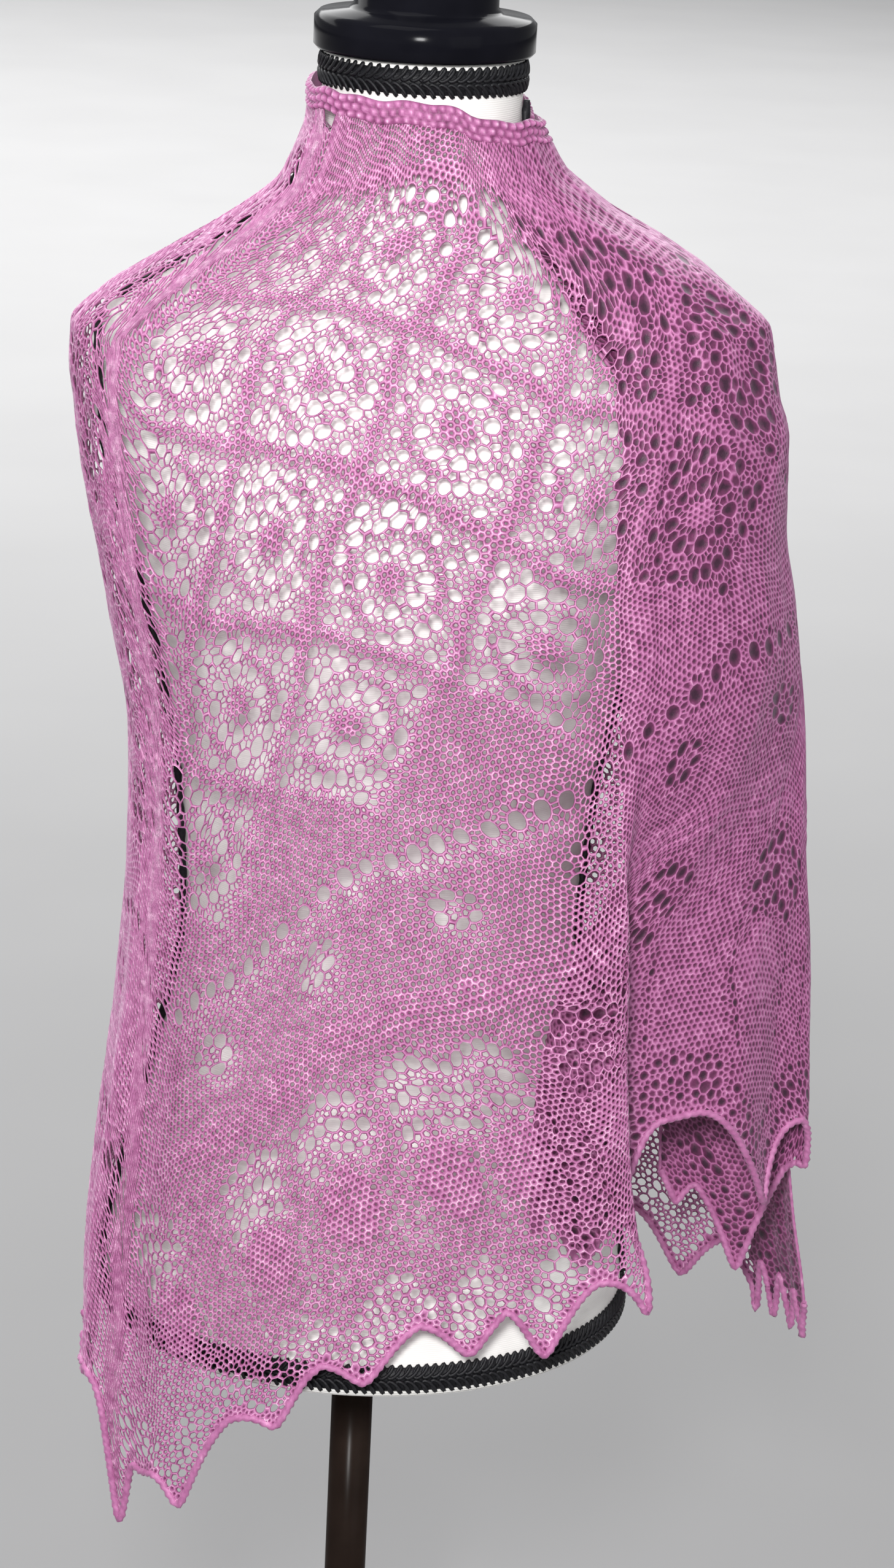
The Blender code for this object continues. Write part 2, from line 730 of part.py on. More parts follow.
def tube_from_rings(name, rings, material, closed=False):
    """Joins a row of equal rings of points into one solid, with caps unless it closes on itself."""
    mesh = bpy.data.meshes.new(name)
    shape = bmesh.new()
    rows = [[shape.verts.new(Vector(p) * MM) for p in ring] for ring in rings]
    pairs = list(zip(rows, rows[1:])) + ([(rows[-1], rows[0])] if closed else [])
    for near, far in pairs:
        for i in range(len(near)):
            k = (i + 1) % len(near)
            shape.faces.new((near[i], near[k], far[k], far[i]))
    if not closed:
        shape.faces.new(rows[0])
        shape.faces.new(rows[-1])
    bmesh.ops.recalc_face_normals(shape, faces=shape.faces[:])
    shape.to_mesh(mesh)
    shape.free()
    mesh.materials.append(material)
    thing = bpy.data.objects.new(name, mesh)
    bpy.context.scene.collection.objects.link(thing)
    return thing


def torso_point(down, angle, out=0.0):
    """A point of the dress form at an angle from the front, moved out."""
    at = lambda name: np.interp(down, FORM["down"], FORM[name])
    turn = np.radians(angle)
    sine, cosine = np.sin(turn), np.cos(turn)
    depth = np.where(cosine > 0, at("front"), at("back")) + out
    x = at("middle") + (at("side") + out) * sine
    return np.stack([x, -depth * cosine, NECK_TOP - down + 0 * x], -1)


def make_torso(material):
    angles = np.arange(TORSO_SIDES) * 360 / TORSO_SIDES
    rings = [torso_point(float(row[0]), angles) for row in TORSO]
    return tube_from_rings("torso", rings, material)


def make_braid(name, low, high, material):
    """A flat band of braid laid round the form between two levels."""
    angles = np.arange(TORSO_SIDES) * 360 / TORSO_SIDES
    outs = ((low, 0.3), (low, BRAID["thick"] * 0.7), ((low + high) / 2, BRAID["thick"] + 0.3))
    outs += ((high, BRAID["thick"] * 0.7), (high, 0.3))
    section = [torso_point(float(down), angles, out) for down, out in outs]
    return tube_from_rings(name, np.array(section).transpose(1, 0, 2), material, closed=True)


CORD_COLUMNS = ("down", "angle")
CORDS = {
    "cord_shoulder_right": ((24, 84), (40, 84), (56, 85), (72, 86), (90, 87), (112, 88), (132, 88), (147, 88)),
    "cord_shoulder_left": ((24, -84), (40, -84), (56, -85), (72, -86), (90, -87), (112, -88), (132, -88), (147, -88)),
    "cord_armhole_right": ((154, 80), (168, 73), (184, 70), (204, 70), (226, 73), (246, 78), (262, 86)),
    "cord_armhole_left": ((154, -80), (168, -73), (184, -70), (204, -70), (226, -73), (246, -78), (262, -86)),
    "cord_side_right": ((270, 87), (320, 82), (380, 78), (440, 76), (500, 76), (560, 78), (620, 82), (680, 84), (744, 86)),
    "cord_side_left": (
        (270, -87), (320, -82), (380, -78), (440, -76), (500, -76), (560, -78), (620, -82), (680, -84), (744, -86)
    ),
}


def make_cord(name, rows, material):
    """A round cord laid on the form through the rows."""
    columns = table(rows, CORD_COLUMNS)
    first, last = columns["down"][0], columns["down"][-1]
    bends = FORM["down"][(FORM["down"] > first) & (FORM["down"] < last)]
    down = np.union1d(columns["down"], bends)
    down = down[np.concatenate([[True], np.diff(down) > 3.0])]
    angle = smooth(columns, "down", "angle", down)
    spine = torso_point(down, angle, CORD_RADIUS + CORD_CLEAR[name.split("_")[1]])
    ahead = np.gradient(spine, axis=0)
    ahead /= np.linalg.norm(ahead, axis=1, keepdims=True)
    out = spine - torso_point(down, angle, -10.0)
    out -= ahead * (out * ahead).sum(1, keepdims=True)
    out /= np.linalg.norm(out, axis=1, keepdims=True)
    across = np.cross(ahead, out)
    rings = []
    for i in range(len(spine)):
        ring = []
        for k in range(6):
            turn = 2 * math.pi * (k + 0.5) / 6
            ring.append(spine[i] + CORD_RADIUS * (math.cos(turn) * out[i] + math.sin(turn) * across[i]))
        rings.append(ring)
    return tube_from_rings(name, rings, material)


def turned(name, profile, base, material, count=36):
    """A solid turned about the upright axis from a profile of radius and height."""
    mesh = bpy.data.meshes.new(name)
    shape = bmesh.new()
    rows = []
    for radius, height in profile:
        if radius == 0:
            rows.append([shape.verts.new(Vector((base[0], base[1], base[2] + height)) * MM)])
            continue
        row = []
        for i in range(count):
            turn = 2 * math.pi * i / count
            place = (base[0] + radius * math.cos(turn), base[1] + radius * math.sin(turn), base[2] + height)
            row.append(shape.verts.new(Vector(place) * MM))
        rows.append(row)
    for low, high in zip(rows, rows[1:]):
        for i in range(count):
            k = (i + 1) % count
            if len(low) == 1:
                shape.faces.new((low[0], high[i], high[k]))
            elif len(high) == 1:
                shape.faces.new((low[i], high[0], low[k]))
            else:
                shape.faces.new((low[i], low[k], high[k], high[i]))
    bmesh.ops.recalc_face_normals(shape, faces=shape.faces[:])
    shape.to_mesh(mesh)
    shape.free()
    mesh.materials.append(material)
    thing = bpy.data.objects.new(name, mesh)
    bpy.context.scene.collection.objects.link(thing)
    return thing


def paint(name, colour, roughness, metallic=0.0):
    material = bpy.data.materials.new(name)
    material.use_nodes = True
    surface = material.node_tree.nodes["Principled BSDF"]
    surface.inputs["Base Color"].default_value = (*colour, 1)
    surface.inputs["Roughness"].default_value = roughness
    surface.inputs["Metallic"].default_value = metallic
    return material


def make_stand(jersey, plastic, enamel, trim):
    make_torso(jersey)
    turned("neck_cap", CAP_PROFILE, (8, 0, NECK_TOP), plastic)
    make_braid("neck_braid", 19.0, 2.0, trim)
    make_braid("hem_braid", 767.0, 750.0, trim)
    for name, rows in CORDS.items():
        make_cord(name, rows, trim)
    torso_base = NECK_TOP - TORSO_DOWN
    collar = COLLAR["radius"], COLLAR["height"]
    collar_base = torso_base - collar[1] - SEAM_GAP
    collar_profile = ((0, 0), (collar[0] - 3, 0), (collar[0], 3), (collar[0], collar[1]), (0, collar[1]))
    turned("collar", collar_profile, (0, 0, collar_base), enamel, 28)
    thick, crown, wide = BASE["height"], BASE["crown"], BASE["radius"]
    base_profile = (
        (0, 0),
        (wide - 2, 0),
        (wide, 2),
        (wide, thick - 3),
        (wide - 4, thick),
        (60, thick + crown * 0.6),
        (22, thick + crown),
        (0, thick + crown),
    )
    turned("base", base_profile, (0, 0, 0), enamel, 48)
    foot = thick + crown + SEAM_GAP
    pole_profile = ((0, 0), (POLE_RADIUS, 0), (POLE_RADIUS, collar_base - SEAM_GAP - foot), (0, collar_base - SEAM_GAP - foot))
    turned("pole", pole_profile, (0, 0, foot), enamel, 28)


FRONT_MARKS = (1.35, 1.7, 2.1, 2.5, 2.9, 3.3, 3.7, 4.1, 4.45, 4.75, 4.92, 5.05, 5.18)
CASCADE_MARKS = (5.6, 5.8, 6.0, 6.2, 6.4, 6.7, 7.0, 7.4, 7.8, 8.2, 8.6, 8.8, 8.92, 9.04, 9.16)


def make_shawl(yarn):
    """The wrap, one object for each stretch."""
    outer, inner = Chart(OUTER, OUTER_PLAN, 12.0, 0.04), Chart(INNER, INNER_PLAN, 12.0, 0.04)
    panel("shawl_front", OUTER, 1.0, 5.35, FRONT_MARKS, front_holes(outer), yarn)
    panel("shawl_left", OUTER, 0.0, 1.0, (0.25, 0.5, 0.75), side_holes(outer, 0.0, 1.0, True), yarn)
    panel("shawl_cascade", OUTER, 5.35, 9.3, CASCADE_MARKS, side_holes(outer, 5.35, 9.3), yarn)
    panel("shawl_free_end", OUTER, 9.3, 11.0, (9.6, 10.0, 10.4, 10.7), (), yarn, FREE_END_TOP)
    back_marks = tuple(0.4 * i for i in range(1, 14))
    panel("shawl_back", INNER, 0.0, 5.6, back_marks, side_holes(inner, 0.0, 5.6), yarn)
    panel("shawl_under", INNER, 5.6, 8.0, (5.9, 6.2, 6.5, 6.8, 7.1, 7.4, 7.7), (), yarn)
    edge_band("neck_edge_front", OUTER, 0.0, 9.0, 34, yarn)
    edge_band("neck_edge_back", INNER, 0.0, 6.0, 22, yarn)


def main():
    clear_scene()
    yarn = paint("yarn", (0.50, 0.15, 0.36), 0.55)
    jersey = paint("jersey", (0.80, 0.77, 0.71), 0.85)
    plastic = paint("cap_plastic", (0.012, 0.012, 0.014), 0.12)
    enamel = paint("stand_enamel", (0.014, 0.011, 0.010), 0.25)
    trim = paint("braid_black", (0.012, 0.012, 0.013), 0.6)
    make_stand(jersey, plastic, enamel, trim)
    make_shawl(yarn)


main()
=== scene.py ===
"""Looks for a hand-knitted lace shawl on a dress form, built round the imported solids.

Metres, +Z up, the wearer's front faces -Y. Sizes in the tables are millimetres, and "down" is the
distance below the top of the neck.
"""

import math

import bpy
import numpy as np
from mathutils import Matrix, Vector
from mathutils.geometry import delaunay_2d_cdt

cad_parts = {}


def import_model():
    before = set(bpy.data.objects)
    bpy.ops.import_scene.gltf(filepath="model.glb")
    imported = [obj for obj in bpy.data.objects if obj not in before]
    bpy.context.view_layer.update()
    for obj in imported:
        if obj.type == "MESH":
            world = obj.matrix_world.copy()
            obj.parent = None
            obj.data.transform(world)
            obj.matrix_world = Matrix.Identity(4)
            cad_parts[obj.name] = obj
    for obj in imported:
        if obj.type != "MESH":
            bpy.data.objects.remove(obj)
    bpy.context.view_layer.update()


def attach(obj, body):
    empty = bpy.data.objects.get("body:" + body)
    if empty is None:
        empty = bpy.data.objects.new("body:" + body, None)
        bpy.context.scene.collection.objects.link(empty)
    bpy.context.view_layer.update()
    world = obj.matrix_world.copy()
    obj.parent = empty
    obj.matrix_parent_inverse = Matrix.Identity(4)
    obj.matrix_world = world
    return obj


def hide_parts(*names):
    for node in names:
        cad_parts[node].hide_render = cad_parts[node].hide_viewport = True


MM = 0.001
NECK_TOP = 1280.0
CLOTH = 1.6
SEAM_GAP = 0.3
BAND_HEIGHT = 13.0
BAND_THICK = 3.6
BAND_SIDES = 26
BAND_RIDGES = 3
BAND_STITCH = 5.4
RING_POWER = 2.3
TIP_ROUND = 0.04

# The wrap at each level: how far the cloth lies from the axis to the left, the right, the front and
# the back, and how far the first end lies under it at the right and at the front.
LEVEL_COLUMNS = ("down", "left", "right", "front", "back", "under_right", "under_front")
LEVELS = (
    (10, 55, 76, 64, 63, 69, 58), (37, 56, 77, 66, 66, 70, 60), (50, 60, 84, 69, 70, 77, 63),
    (64, 66, 94, 73, 74, 86, 67), (74, 71, 106, 76, 78, 98, 70), (86, 84, 123, 80, 84, 115, 74),
    (105, 111, 160, 88, 94, 151, 81), (117, 130, 181, 93, 99, 172, 86),
    (134, 157, 203, 100, 106, 194, 93), (144, 171, 214, 104, 110, 204, 97),
    (163, 189, 219, 111, 115, 209, 103), (182, 190, 223, 117, 118, 213, 109),
    (209, 186, 231, 125, 122, 220, 114), (259, 177, 232, 134, 124, 219, 100),
    (310, 167, 241, 139, 123, 222, 80), (386, 152, 250, 142, 121, 228, 60),
    (440, 149, 256, 144, 120, 234, 55), (540, 153, 266, 148, 126, 246, 55),
    (613, 159, 270, 152, 136, 256, 55), (718, 169, 279, 158, 152, 274, 55),
    (810, 172, 285, 161, 163, 290, 55), (880, 170, 288, 162, 168, 293, 55),
)

# The fold at the right side: where its ridge lies as a share of the right reach, how far it laps over
# the fold behind it, where the free end stops short of the outer fold, and the angle of the first end.
FOLD_COLUMNS = ("down", "ridge_share", "lap", "end_short", "end_front", "first_end_angle")
FOLDS = (
    (10, 0.50, 0, 8, 10, 46), (60, 0.52, 0, 8, 10, 40), (100, 0.54, 0, 8, 10, 30),
    (134, 0.55, 0, 8, 10, 28), (165, 0.555, 0, 8, 10, 34), (209, 0.555, 0, 8, 12, 56),
    (260, 0.555, 0, 8, 16, 64), (310, 0.555, 0, 10, 20, 76), (371, 0.555, 10, 40, 22, 92),
    (489, 0.569, 38, 74, 6, 97), (586, 0.576, 52, 86, -6, 98), (661, 0.605, 62, 90, -10, 98),
    (722, 0.635, 70, 92, -12, 98), (880, 0.65, 74, 94, -14, 99),
)

# Knots along each sheet. The outer sheet runs from the left side round the front to the free end, and
# the inner one from the left side round the back to the first end, under the outer one.
OUTER_ANGLES = (-90, -62, -34, -6)
FREE_END_TOP = 374.0
INNER_ANGLES = (-90, -120, -150, -180, -210, -240)

# How the folds at the right lie off the ridge: the lap behind it, the first fold, the second fold as
# shares of the ridge and the right reach, the turn at the side, and the middle of the last stretch.
BEHIND_BACK = 24
FIRST_FOLD = (8, 40)
SECOND_FOLD = (0.42, 0.58, 0.30, 20)
TURN = {"angle": 112.0, "less": 22, "forward": 10}
END_HALF = (4, 6)

# Each sheet's upper edge and the valleys of its hem.
EDGE_COLUMNS = ("knot", "top", "valley")
OUTER_EDGE = (
    (0, 18, 794), (0.5, 18, 800), (0.95, 18, 787), (1.2, 18, 800), (1.36, 18, 838), (1.6, 18, 842),
    (1.9, 19, 826), (2.4, 19, 790), (3, 19, 744), (3.5, 20, 716), (4, 22, 703), (4.5, 24, 692),
    (5, 27, 664), (6, 29, 640), (7, 31, 612), (8, 34, 606), (9, 36, 640), (10, 44, 700),
    (11, 50, 680),
)
INNER_EDGE = (
    (0, 18, 795), (1, 15, 788), (2, 12, 776), (3, 10, 768), (4, 14, 766), (5, 24, 770),
    (6, 34, 774), (7, 42, 776), (8, 52, 778),
)

# The points of the hem: knot, reach to each side in knots, and depth.
OUTER_TEETH = (
    (0.14, 0.26, 34), (0.62, 0.22, 14), (1.32, 0.13, 50), (2.08, 0.33, 36), (2.80, 0.32, 26),
    (3.28, 0.24, 26), (3.78, 0.24, 27), (4.19, 0.27, 38), (4.90, 0.32, 44), (5.55, 0.28, 40),
    (6.10, 0.26, 40), (6.75, 0.36, 44), (8.25, 0.55, 66), (9.15, 0.30, 20), (10.05, 0.50, 46),
    (10.80, 0.24, 20),
)
INNER_TEETH = (
    (0.35, 0.32, 36), (1.00, 0.33, 36), (1.65, 0.32, 36), (2.30, 0.32, 36), (2.90, 0.28, 36),
    (3.45, 0.26, 36), (3.95, 0.24, 36), (4.50, 0.30, 38), (5.10, 0.30, 42), (5.75, 0.34, 36),
    (6.60, 0.50, 34), (7.55, 0.44, 30),
)

# Soft hanging folds: where each crest lies, its half width in knots, its height, and the levels where
# it starts and where it is full.
OUTER_RIPPLES = (
    (0.45, 0.32, -6, 420, 760), (1.02, 0.26, 9, 380, 760), (1.45, 0.26, -6, 420, 760),
    (3.0, 0.5, 4, 500, 740), (4.1, 0.4, -4, 460, 700), (7.9, 0.4, 7, 420, 640),
    (8.5, 0.3, -6, 420, 640),
)
INNER_RIPPLES = (
    (1.2, 0.45, 10, 300, 760), (2.2, 0.45, 9, 260, 760), (3.2, 0.45, 12, 260, 760),
    (4.1, 0.38, 9, 300, 760), (4.75, 0.22, 5, 320, 760),
)

TORSO_COLUMNS = ("down", "side", "front", "back", "middle")
TORSO = (
    (0, 57, 54, 55, 8), (45, 57, 55, 57, 8), (60, 62, 60, 62, 8), (74, 67, 64, 68, 7),
    (90, 80, 69, 74, 6), (112, 110, 74, 84, 5), (132, 140, 82, 92, 5), (147, 164, 88, 98, 5),
    (160, 179, 92, 102, 5), (178, 183, 98, 106, 5), (210, 180, 110, 111, 5),
    (250, 168, 120, 113, 5), (300, 152, 118, 110, 5), (360, 137, 104, 98, 5), (440, 124, 92, 86, 5),
    (515, 120, 90, 86, 5), (580, 128, 100, 98, 4), (660, 145, 122, 122, 4), (720, 157, 138, 138, 3),
    (769, 163, 148, 146, 3),
)
TORSO_DOWN = 769.0
TORSO_SIDES = 128

POLE_RADIUS = 13.0
COLLAR = {"radius": 24.0, "height": 16.0}
BASE = {"radius": 185.0, "height": 12.0, "crown": 9.0}
COLLAR_FOOT = NECK_TOP - TORSO_DOWN - COLLAR["height"] - SEAM_GAP
CAP_PROFILE = (
    (0, 0.3), (61, 0.3), (63, 2.5), (63, 18), (60, 21), (44, 23), (41, 26), (41, 42), (38, 45), (0, 45)
)

# The braids' loops, and the corners of the ground under them as a share of the width and a lift.
GIMP = {"pitch": 5.2, "radius": 1.05, "lift": 1.5, "steps": 14}
GIMP_GROUND = ((-0.8, 0.35), (-0.8, 1.1), (0.8, 1.1), (0.8, 0.35))

# The seam cords of the right side, as levels and angles from the front; the left side mirrors them.
CORD_RADIUS = 2.2
CORDS = {
    "shoulder": ((24, 84), (40, 84), (56, 85), (72, 86), (90, 87), (112, 88), (132, 88), (147, 88)),
    "armhole": ((154, 80), (168, 73), (184, 70), (204, 70), (226, 73), (246, 78), (262, 86)),
    "side": (
        (270, 87), (320, 82), (380, 78), (440, 76), (500, 76), (560, 78), (620, 82), (680, 84), (744, 86)
    ),
}


def table(rows, columns):
    return {name: np.array([row[i] for row in rows], float) for i, name in enumerate(columns)}


def smooth(columns, key, name, at):
    """A smooth curve through a table's rows that never overshoots them."""
    x, y = columns[key], columns[name]
    step = np.diff(x)
    slope = np.diff(y) / step
    both = slope[:-1] * slope[1:]
    inner = np.where(both > 0, 2 * slope[:-1] * slope[1:] / (slope[:-1] + slope[1:] + 1e-12), 0)
    tangent = np.concatenate([[slope[0]], inner, [slope[-1]]])
    at = np.clip(at, x[0], x[-1])
    i = np.clip(np.searchsorted(x, at, side="right") - 1, 0, len(x) - 2)
    u = (at - x[i]) / step[i]
    rise = y[i] * (1 + 2 * u) * (1 - u) ** 2 + y[i + 1] * u * u * (3 - 2 * u)
    return rise + step[i] * (tangent[i] * u * (1 - u) ** 2 - tangent[i + 1] * u * u * (1 - u))


def ease(value, low, high):
    share = np.clip((value - low) / (high - low), 0, 1)
    return share * share * (3 - 2 * share)


LEVEL = table(LEVELS, LEVEL_COLUMNS)
FOLD = table(FOLDS, FOLD_COLUMNS)
FORM = table(TORSO, TORSO_COLUMNS)


def level(name, down):
    return smooth(LEVEL, "down", name, down)


def fold(name, down):
    return smooth(FOLD, "down", name, down)


def unit(vectors):
    return vectors / (np.linalg.norm(vectors, axis=-1, keepdims=True) + 1e-9)


def offset(down, x, y):
    """The same plan offset for every level, or one for each."""
    return np.stack([x + 0 * down, y + 0 * down], -1)


def on_ring(down, angle, right, front):
    """A plan point at an angle from the front, turning towards the right."""
    turn = np.radians(angle)
    sine, cosine = np.sin(turn), np.cos(turn)
    side = np.where(sine > 0, right, level("left", down))
    depth = np.where(cosine > 0, front, level("back", down))
    power = 2 / RING_POWER
    x = side * np.sign(sine) * np.abs(sine) ** power
    y = -depth * np.sign(cosine) * np.abs(cosine) ** power
    return np.stack([x, y], -1)


def ring_angle(share):
    return np.degrees(np.arcsin(share ** (RING_POWER / 2)))


def outer_knots(down):
    """The outer sheet's plan points at a level, from left to free end, with one more before it."""
    right, front = level("right", down), level("front", down)
    ring = lambda angle: on_ring(down, angle, right, front)
    share = fold("ridge_share", down)
    ridge = ring(ring_angle(share))
    behind = ridge + offset(down, -fold("lap", down), BEHIND_BACK)
    first = ridge + offset(down, *FIRST_FOLD)
    keep, reach, front_share, back = SECOND_FOLD
    second = offset(down, keep * ridge[..., 0] + reach * right, front_share * ridge[..., 1] - back)
    turn = ring(TURN["angle"] - TURN["less"] * ease(down, 240, 380))
    turn = turn + offset(down, 0 * down, -TURN["forward"] * ease(down, 200, 400))
    end = offset(down, right - fold("end_short", down), -fold("end_front", down))
    half = (turn + end) / 2 + offset(down, *END_HALF)
    knots = [ring(-118.0)]
    knots += [ring(float(angle)) for angle in OUTER_ANGLES]
    knots += [ring(0.5 * ring_angle(share) - 1), ridge]
    folded = ease(down, 330, 560)[..., None]
    for way, place in ((0.14, behind), (0.46, first), (0.84, second)):
        angle = ring_angle(share) * (1 - way) + 90 * way
        knots.append((1 - folded) * ring(angle) + folded * place)
    return knots + [turn, half, end]


def inner_knots(down):
    """The inner sheet's plan points at a level, from left round the back to the first end."""
    right, front = level("under_right", down), level("under_front", down)
    ring = lambda angle: on_ring(down, angle, right, front)
    first_end = fold("first_end_angle", down)
    knots = [ring(-62.0)]
    knots += [ring(float(angle)) for angle in INNER_ANGLES]
    for share in (0.4, 0.7, 1.0):
        knots.append(ring(120 + (first_end - 120) * share))
    return knots


def through(knots, at):
    """A curve through the knots; at counts knots from the second one."""
    points = np.stack(knots + [2 * knots[-1] - knots[-2]], -2)
    last = len(knots) - 2
    i = np.clip(np.floor(at).astype(int), 0, last - 1)
    u = (at - i)[..., None]
    pick = lambda k: np.take_along_axis(points, (i + k)[..., None, None], -2)[..., 0, :]
    before, start, stop, after = pick(0), pick(1), pick(2), pick(3)
    span = np.linalg.norm(stop - start, axis=-1, keepdims=True) + 1e-9
    lead = span / (np.linalg.norm(start - before, axis=-1, keepdims=True) + span)
    tail = span / (np.linalg.norm(after - stop, axis=-1, keepdims=True) + span)
    leave = lead * (stop - before)
    arrive = tail * (after - start)
    curve = start * (1 + 2 * u) * (1 - u) ** 2 + stop * u * u * (3 - 2 * u)
    return curve + leave * u * (1 - u) ** 2 - arrive * u * u * (1 - u)


class Sheet:
    """One knitted sheet as a surface over knot and down."""

    def __init__(self, knots, edge, teeth, ripples):
        self.knots = knots
        self.edge = table(edge, EDGE_COLUMNS)
        self.teeth = teeth
        self.ripples = ripples

    def bare(self, at, down):
        return through(self.knots(down), at)

    def plan(self, at, down):
        """Plan points with the soft hanging folds raised along the ring's normal."""
        place = self.bare(at, down)
        step = self.bare(at + 0.02, down) - self.bare(at - 0.02, down)
        normal = unit(np.stack([step[..., 1], -step[..., 0]], -1))
        height = 0.0 * at
        for knot, half, crest, start, full in self.ripples:
            bump = np.clip(1 - np.abs(at - knot) / (1.6 * half), 0, 1)
            height = height + crest * bump * bump * (3 - 2 * bump) * ease(down, start, full)
        outward = np.sign((normal * place).sum(-1))
        return place + normal * (outward * height)[..., None]

    def point(self, at, down):
        at, down = np.broadcast_arrays(np.asarray(at, float), np.asarray(down, float))
        return np.concatenate([self.plan(at, down), (NECK_TOP - down)[..., None]], -1)

    def normal(self, at, down):
        along = self.point(at + 0.01, down) - self.point(at - 0.01, down)
        fall = self.point(at, down + 1.0) - self.point(at, down - 1.0)
        return unit(np.cross(along, fall))

    def top(self, at):
        return smooth(self.edge, "knot", "top", at)

    def valley(self, at):
        return smooth(self.edge, "knot", "valley", at)

    def hem(self, at):
        """The hem's level, which hangs below its valleys at each point."""
        drop = 0.0 * np.asarray(at, float)
        for knot, reach, depth in self.teeth:
            near = np.clip(1 - (np.hypot(at - knot, TIP_ROUND) - TIP_ROUND) / (1.2 * reach), 0, 1)
            drop = np.maximum(drop, depth * near**2.1)
        return self.valley(at) + drop


def oval(points, centre, half_wide, half_high):
    """How far points lie from a centre, squared, with 1 on the rim of an oval."""
    return ((points[:, 0] - centre[0]) / half_wide) ** 2 + ((points[:, 1] - centre[1]) / half_high) ** 2


OUTER = Sheet(outer_knots, OUTER_EDGE, OUTER_TEETH, OUTER_RIPPLES)
INNER = Sheet(inner_knots, INNER_EDGE, INNER_TEETH, INNER_RIPPLES)


# The knitted net. Each stitch is a cell between yarn strands, laid out in rows that follow the hem.
OUTER_NET = {"wide": 3.8, "tall": 3.4, "lean": 0.407, "middle": 3.0, "first": 0.0, "last": 11.0, "side": -1}
INNER_NET = {"wide": 4.9, "tall": 4.4, "lean": 0.0, "middle": 3.0, "first": 0.0, "last": 8.0, "side": 1}
STRAND_RISE = 0.55
STRAND_SINK = 0.45
SEED_JITTER = 0.075
RING_OUT = 1.42
RING_CLEAR = 0.62
RING_APART = 0.55
# Stitches past this knot are lined with a dark sheet of painted shade.
SHADE_LINED_FROM = 5.05

# Strand widths in millimetres; those that end in "more" are added to the others.
STRAND = {
    "field": 1.35, "plain": 1.95, "frame": 2.4, "border": 2.05, "leaf": 2.9, "edge": 2.7,
    "eyelet": 1.0, "border_eyelet": 1.2, "neck_more": 0.7, "fold_more": 0.45, "lined_more": 0.4,
    "uneven": 0.12,
}

# How high points lie on their strand, turned into painted shade and painted highlight in the yarn's colour:
# dark at the strands' feet, darker in the middles of closed and lined stitches, darkest in lined eyelets, a
# middle tone on the cords.
CREST_SHADE = {"inner": -0.2, "eyelet": -0.8, "middle": -0.35, "cord": 0.62}

# Over the shoulders the cloth is longer than its fall: from a level, to a level, by a factor.
SLOPE_ZONE = (84.0, 146.0, 1.45)


def slope_length(down):
    """Distance along the cloth for a distance down, longer over the shoulders."""
    start, stop, factor = SLOPE_ZONE
    return down + (factor - 1) * np.clip(down - start, 0, stop - start)


def slope_down(length):
    start, stop, factor = SLOPE_ZONE
    return length - (1 - 1 / factor) * np.clip(length - start, 0, factor * (stop - start))


class Chart:
    """A sheet unrolled: across is measured along a row of stitches, up is height above the hem."""

    def __init__(self, sheet, plan, row_step, knot_step):
        self.sheet, self.plan = sheet, plan
        self.grid = np.arange(plan["first"] - 0.12, plan["last"] + 0.121, knot_step)
        self.hem_length = slope_length(sheet.valley(self.grid))
        self.rows = np.arange(-68.0, 830.0, row_step)
        self.arc = np.array([self.row_arc(up) for up in self.rows])
        teeth = np.array([tooth[0] for tooth in sheet.teeth])
        self.points = self.across(teeth, self.sheet.valley(teeth) - 60.0)

    def row_arc(self, up):
        place = self.sheet.point(self.grid, slope_down(self.hem_length - up))
        run = run_length(place)
        return run - np.interp(self.plan["middle"], self.grid, run) + self.plan["lean"] * up

    def row_share(self, up):
        row = np.clip((up - self.rows[0]) / (self.rows[1] - self.rows[0]), 0, len(self.rows) - 1.001)
        low = np.floor(row).astype(int)
        return low, row - low

    def up(self, knot, down):
        return slope_length(self.sheet.valley(knot)) - slope_length(down)

    def down(self, knot, up):
        return slope_down(slope_length(self.sheet.valley(knot)) - up)

    def across(self, knot, down):
        low, share = self.row_share(self.up(knot, down))
        column = np.clip((knot - self.grid[0]) / (self.grid[1] - self.grid[0]), 0, len(self.grid) - 1.001)
        left = np.floor(column).astype(int)
        part = column - left
        near = self.arc[low, left] * (1 - part) + self.arc[low, left + 1] * part
        far = self.arc[low + 1, left] * (1 - part) + self.arc[low + 1, left + 1] * part
        return near * (1 - share) + far * share

    def knot(self, across, up):
        """Knots for chart places."""
        across, up = np.atleast_1d(across).astype(float), np.atleast_1d(up).astype(float)
        low, share = self.row_share(up)
        place = np.empty(len(across))
        for i in np.unique(low):
            mine = low == i
            first = np.interp(across[mine], self.arc[i], self.grid)
            second = np.interp(across[mine], self.arc[i + 1], self.grid)
            place[mine] = first * (1 - share[mine]) + second * share[mine]
        return place

    def held(self, places, first, last):
        """The chart places that lie on the cloth between two knots."""
        across, up = np.array(places).T
        knot = self.knot(across, up)
        down = self.down(knot, up)
        high, low = self.sheet.top(knot) + BAND_HEIGHT + 4, self.sheet.hem(knot) - 4
        good = (first < knot) & (knot < last) & (high < down) & (down < low)
        return [place for place, here in zip(places, good) if here]


def drift(across, up):
    """Chart places pulled a little out of their rows, as the cloth hangs unevenly, but not near the hem."""
    hold = ease(up, 15.0, 120.0)
    side = 2.6 * np.sin(0.041 * up + 0.019 * across + 0.7) + 1.5 * np.sin(0.093 * up - 0.051 * across)
    rise = 2.4 * np.sin(0.047 * across - 0.013 * up) + 1.4 * np.sin(0.101 * across + 0.063 * up + 1.1)
    return across + hold * side, up + hold * rise


def row_step(plan):
    return plan["tall"] / math.sqrt(1 - plan["lean"] ** 2)


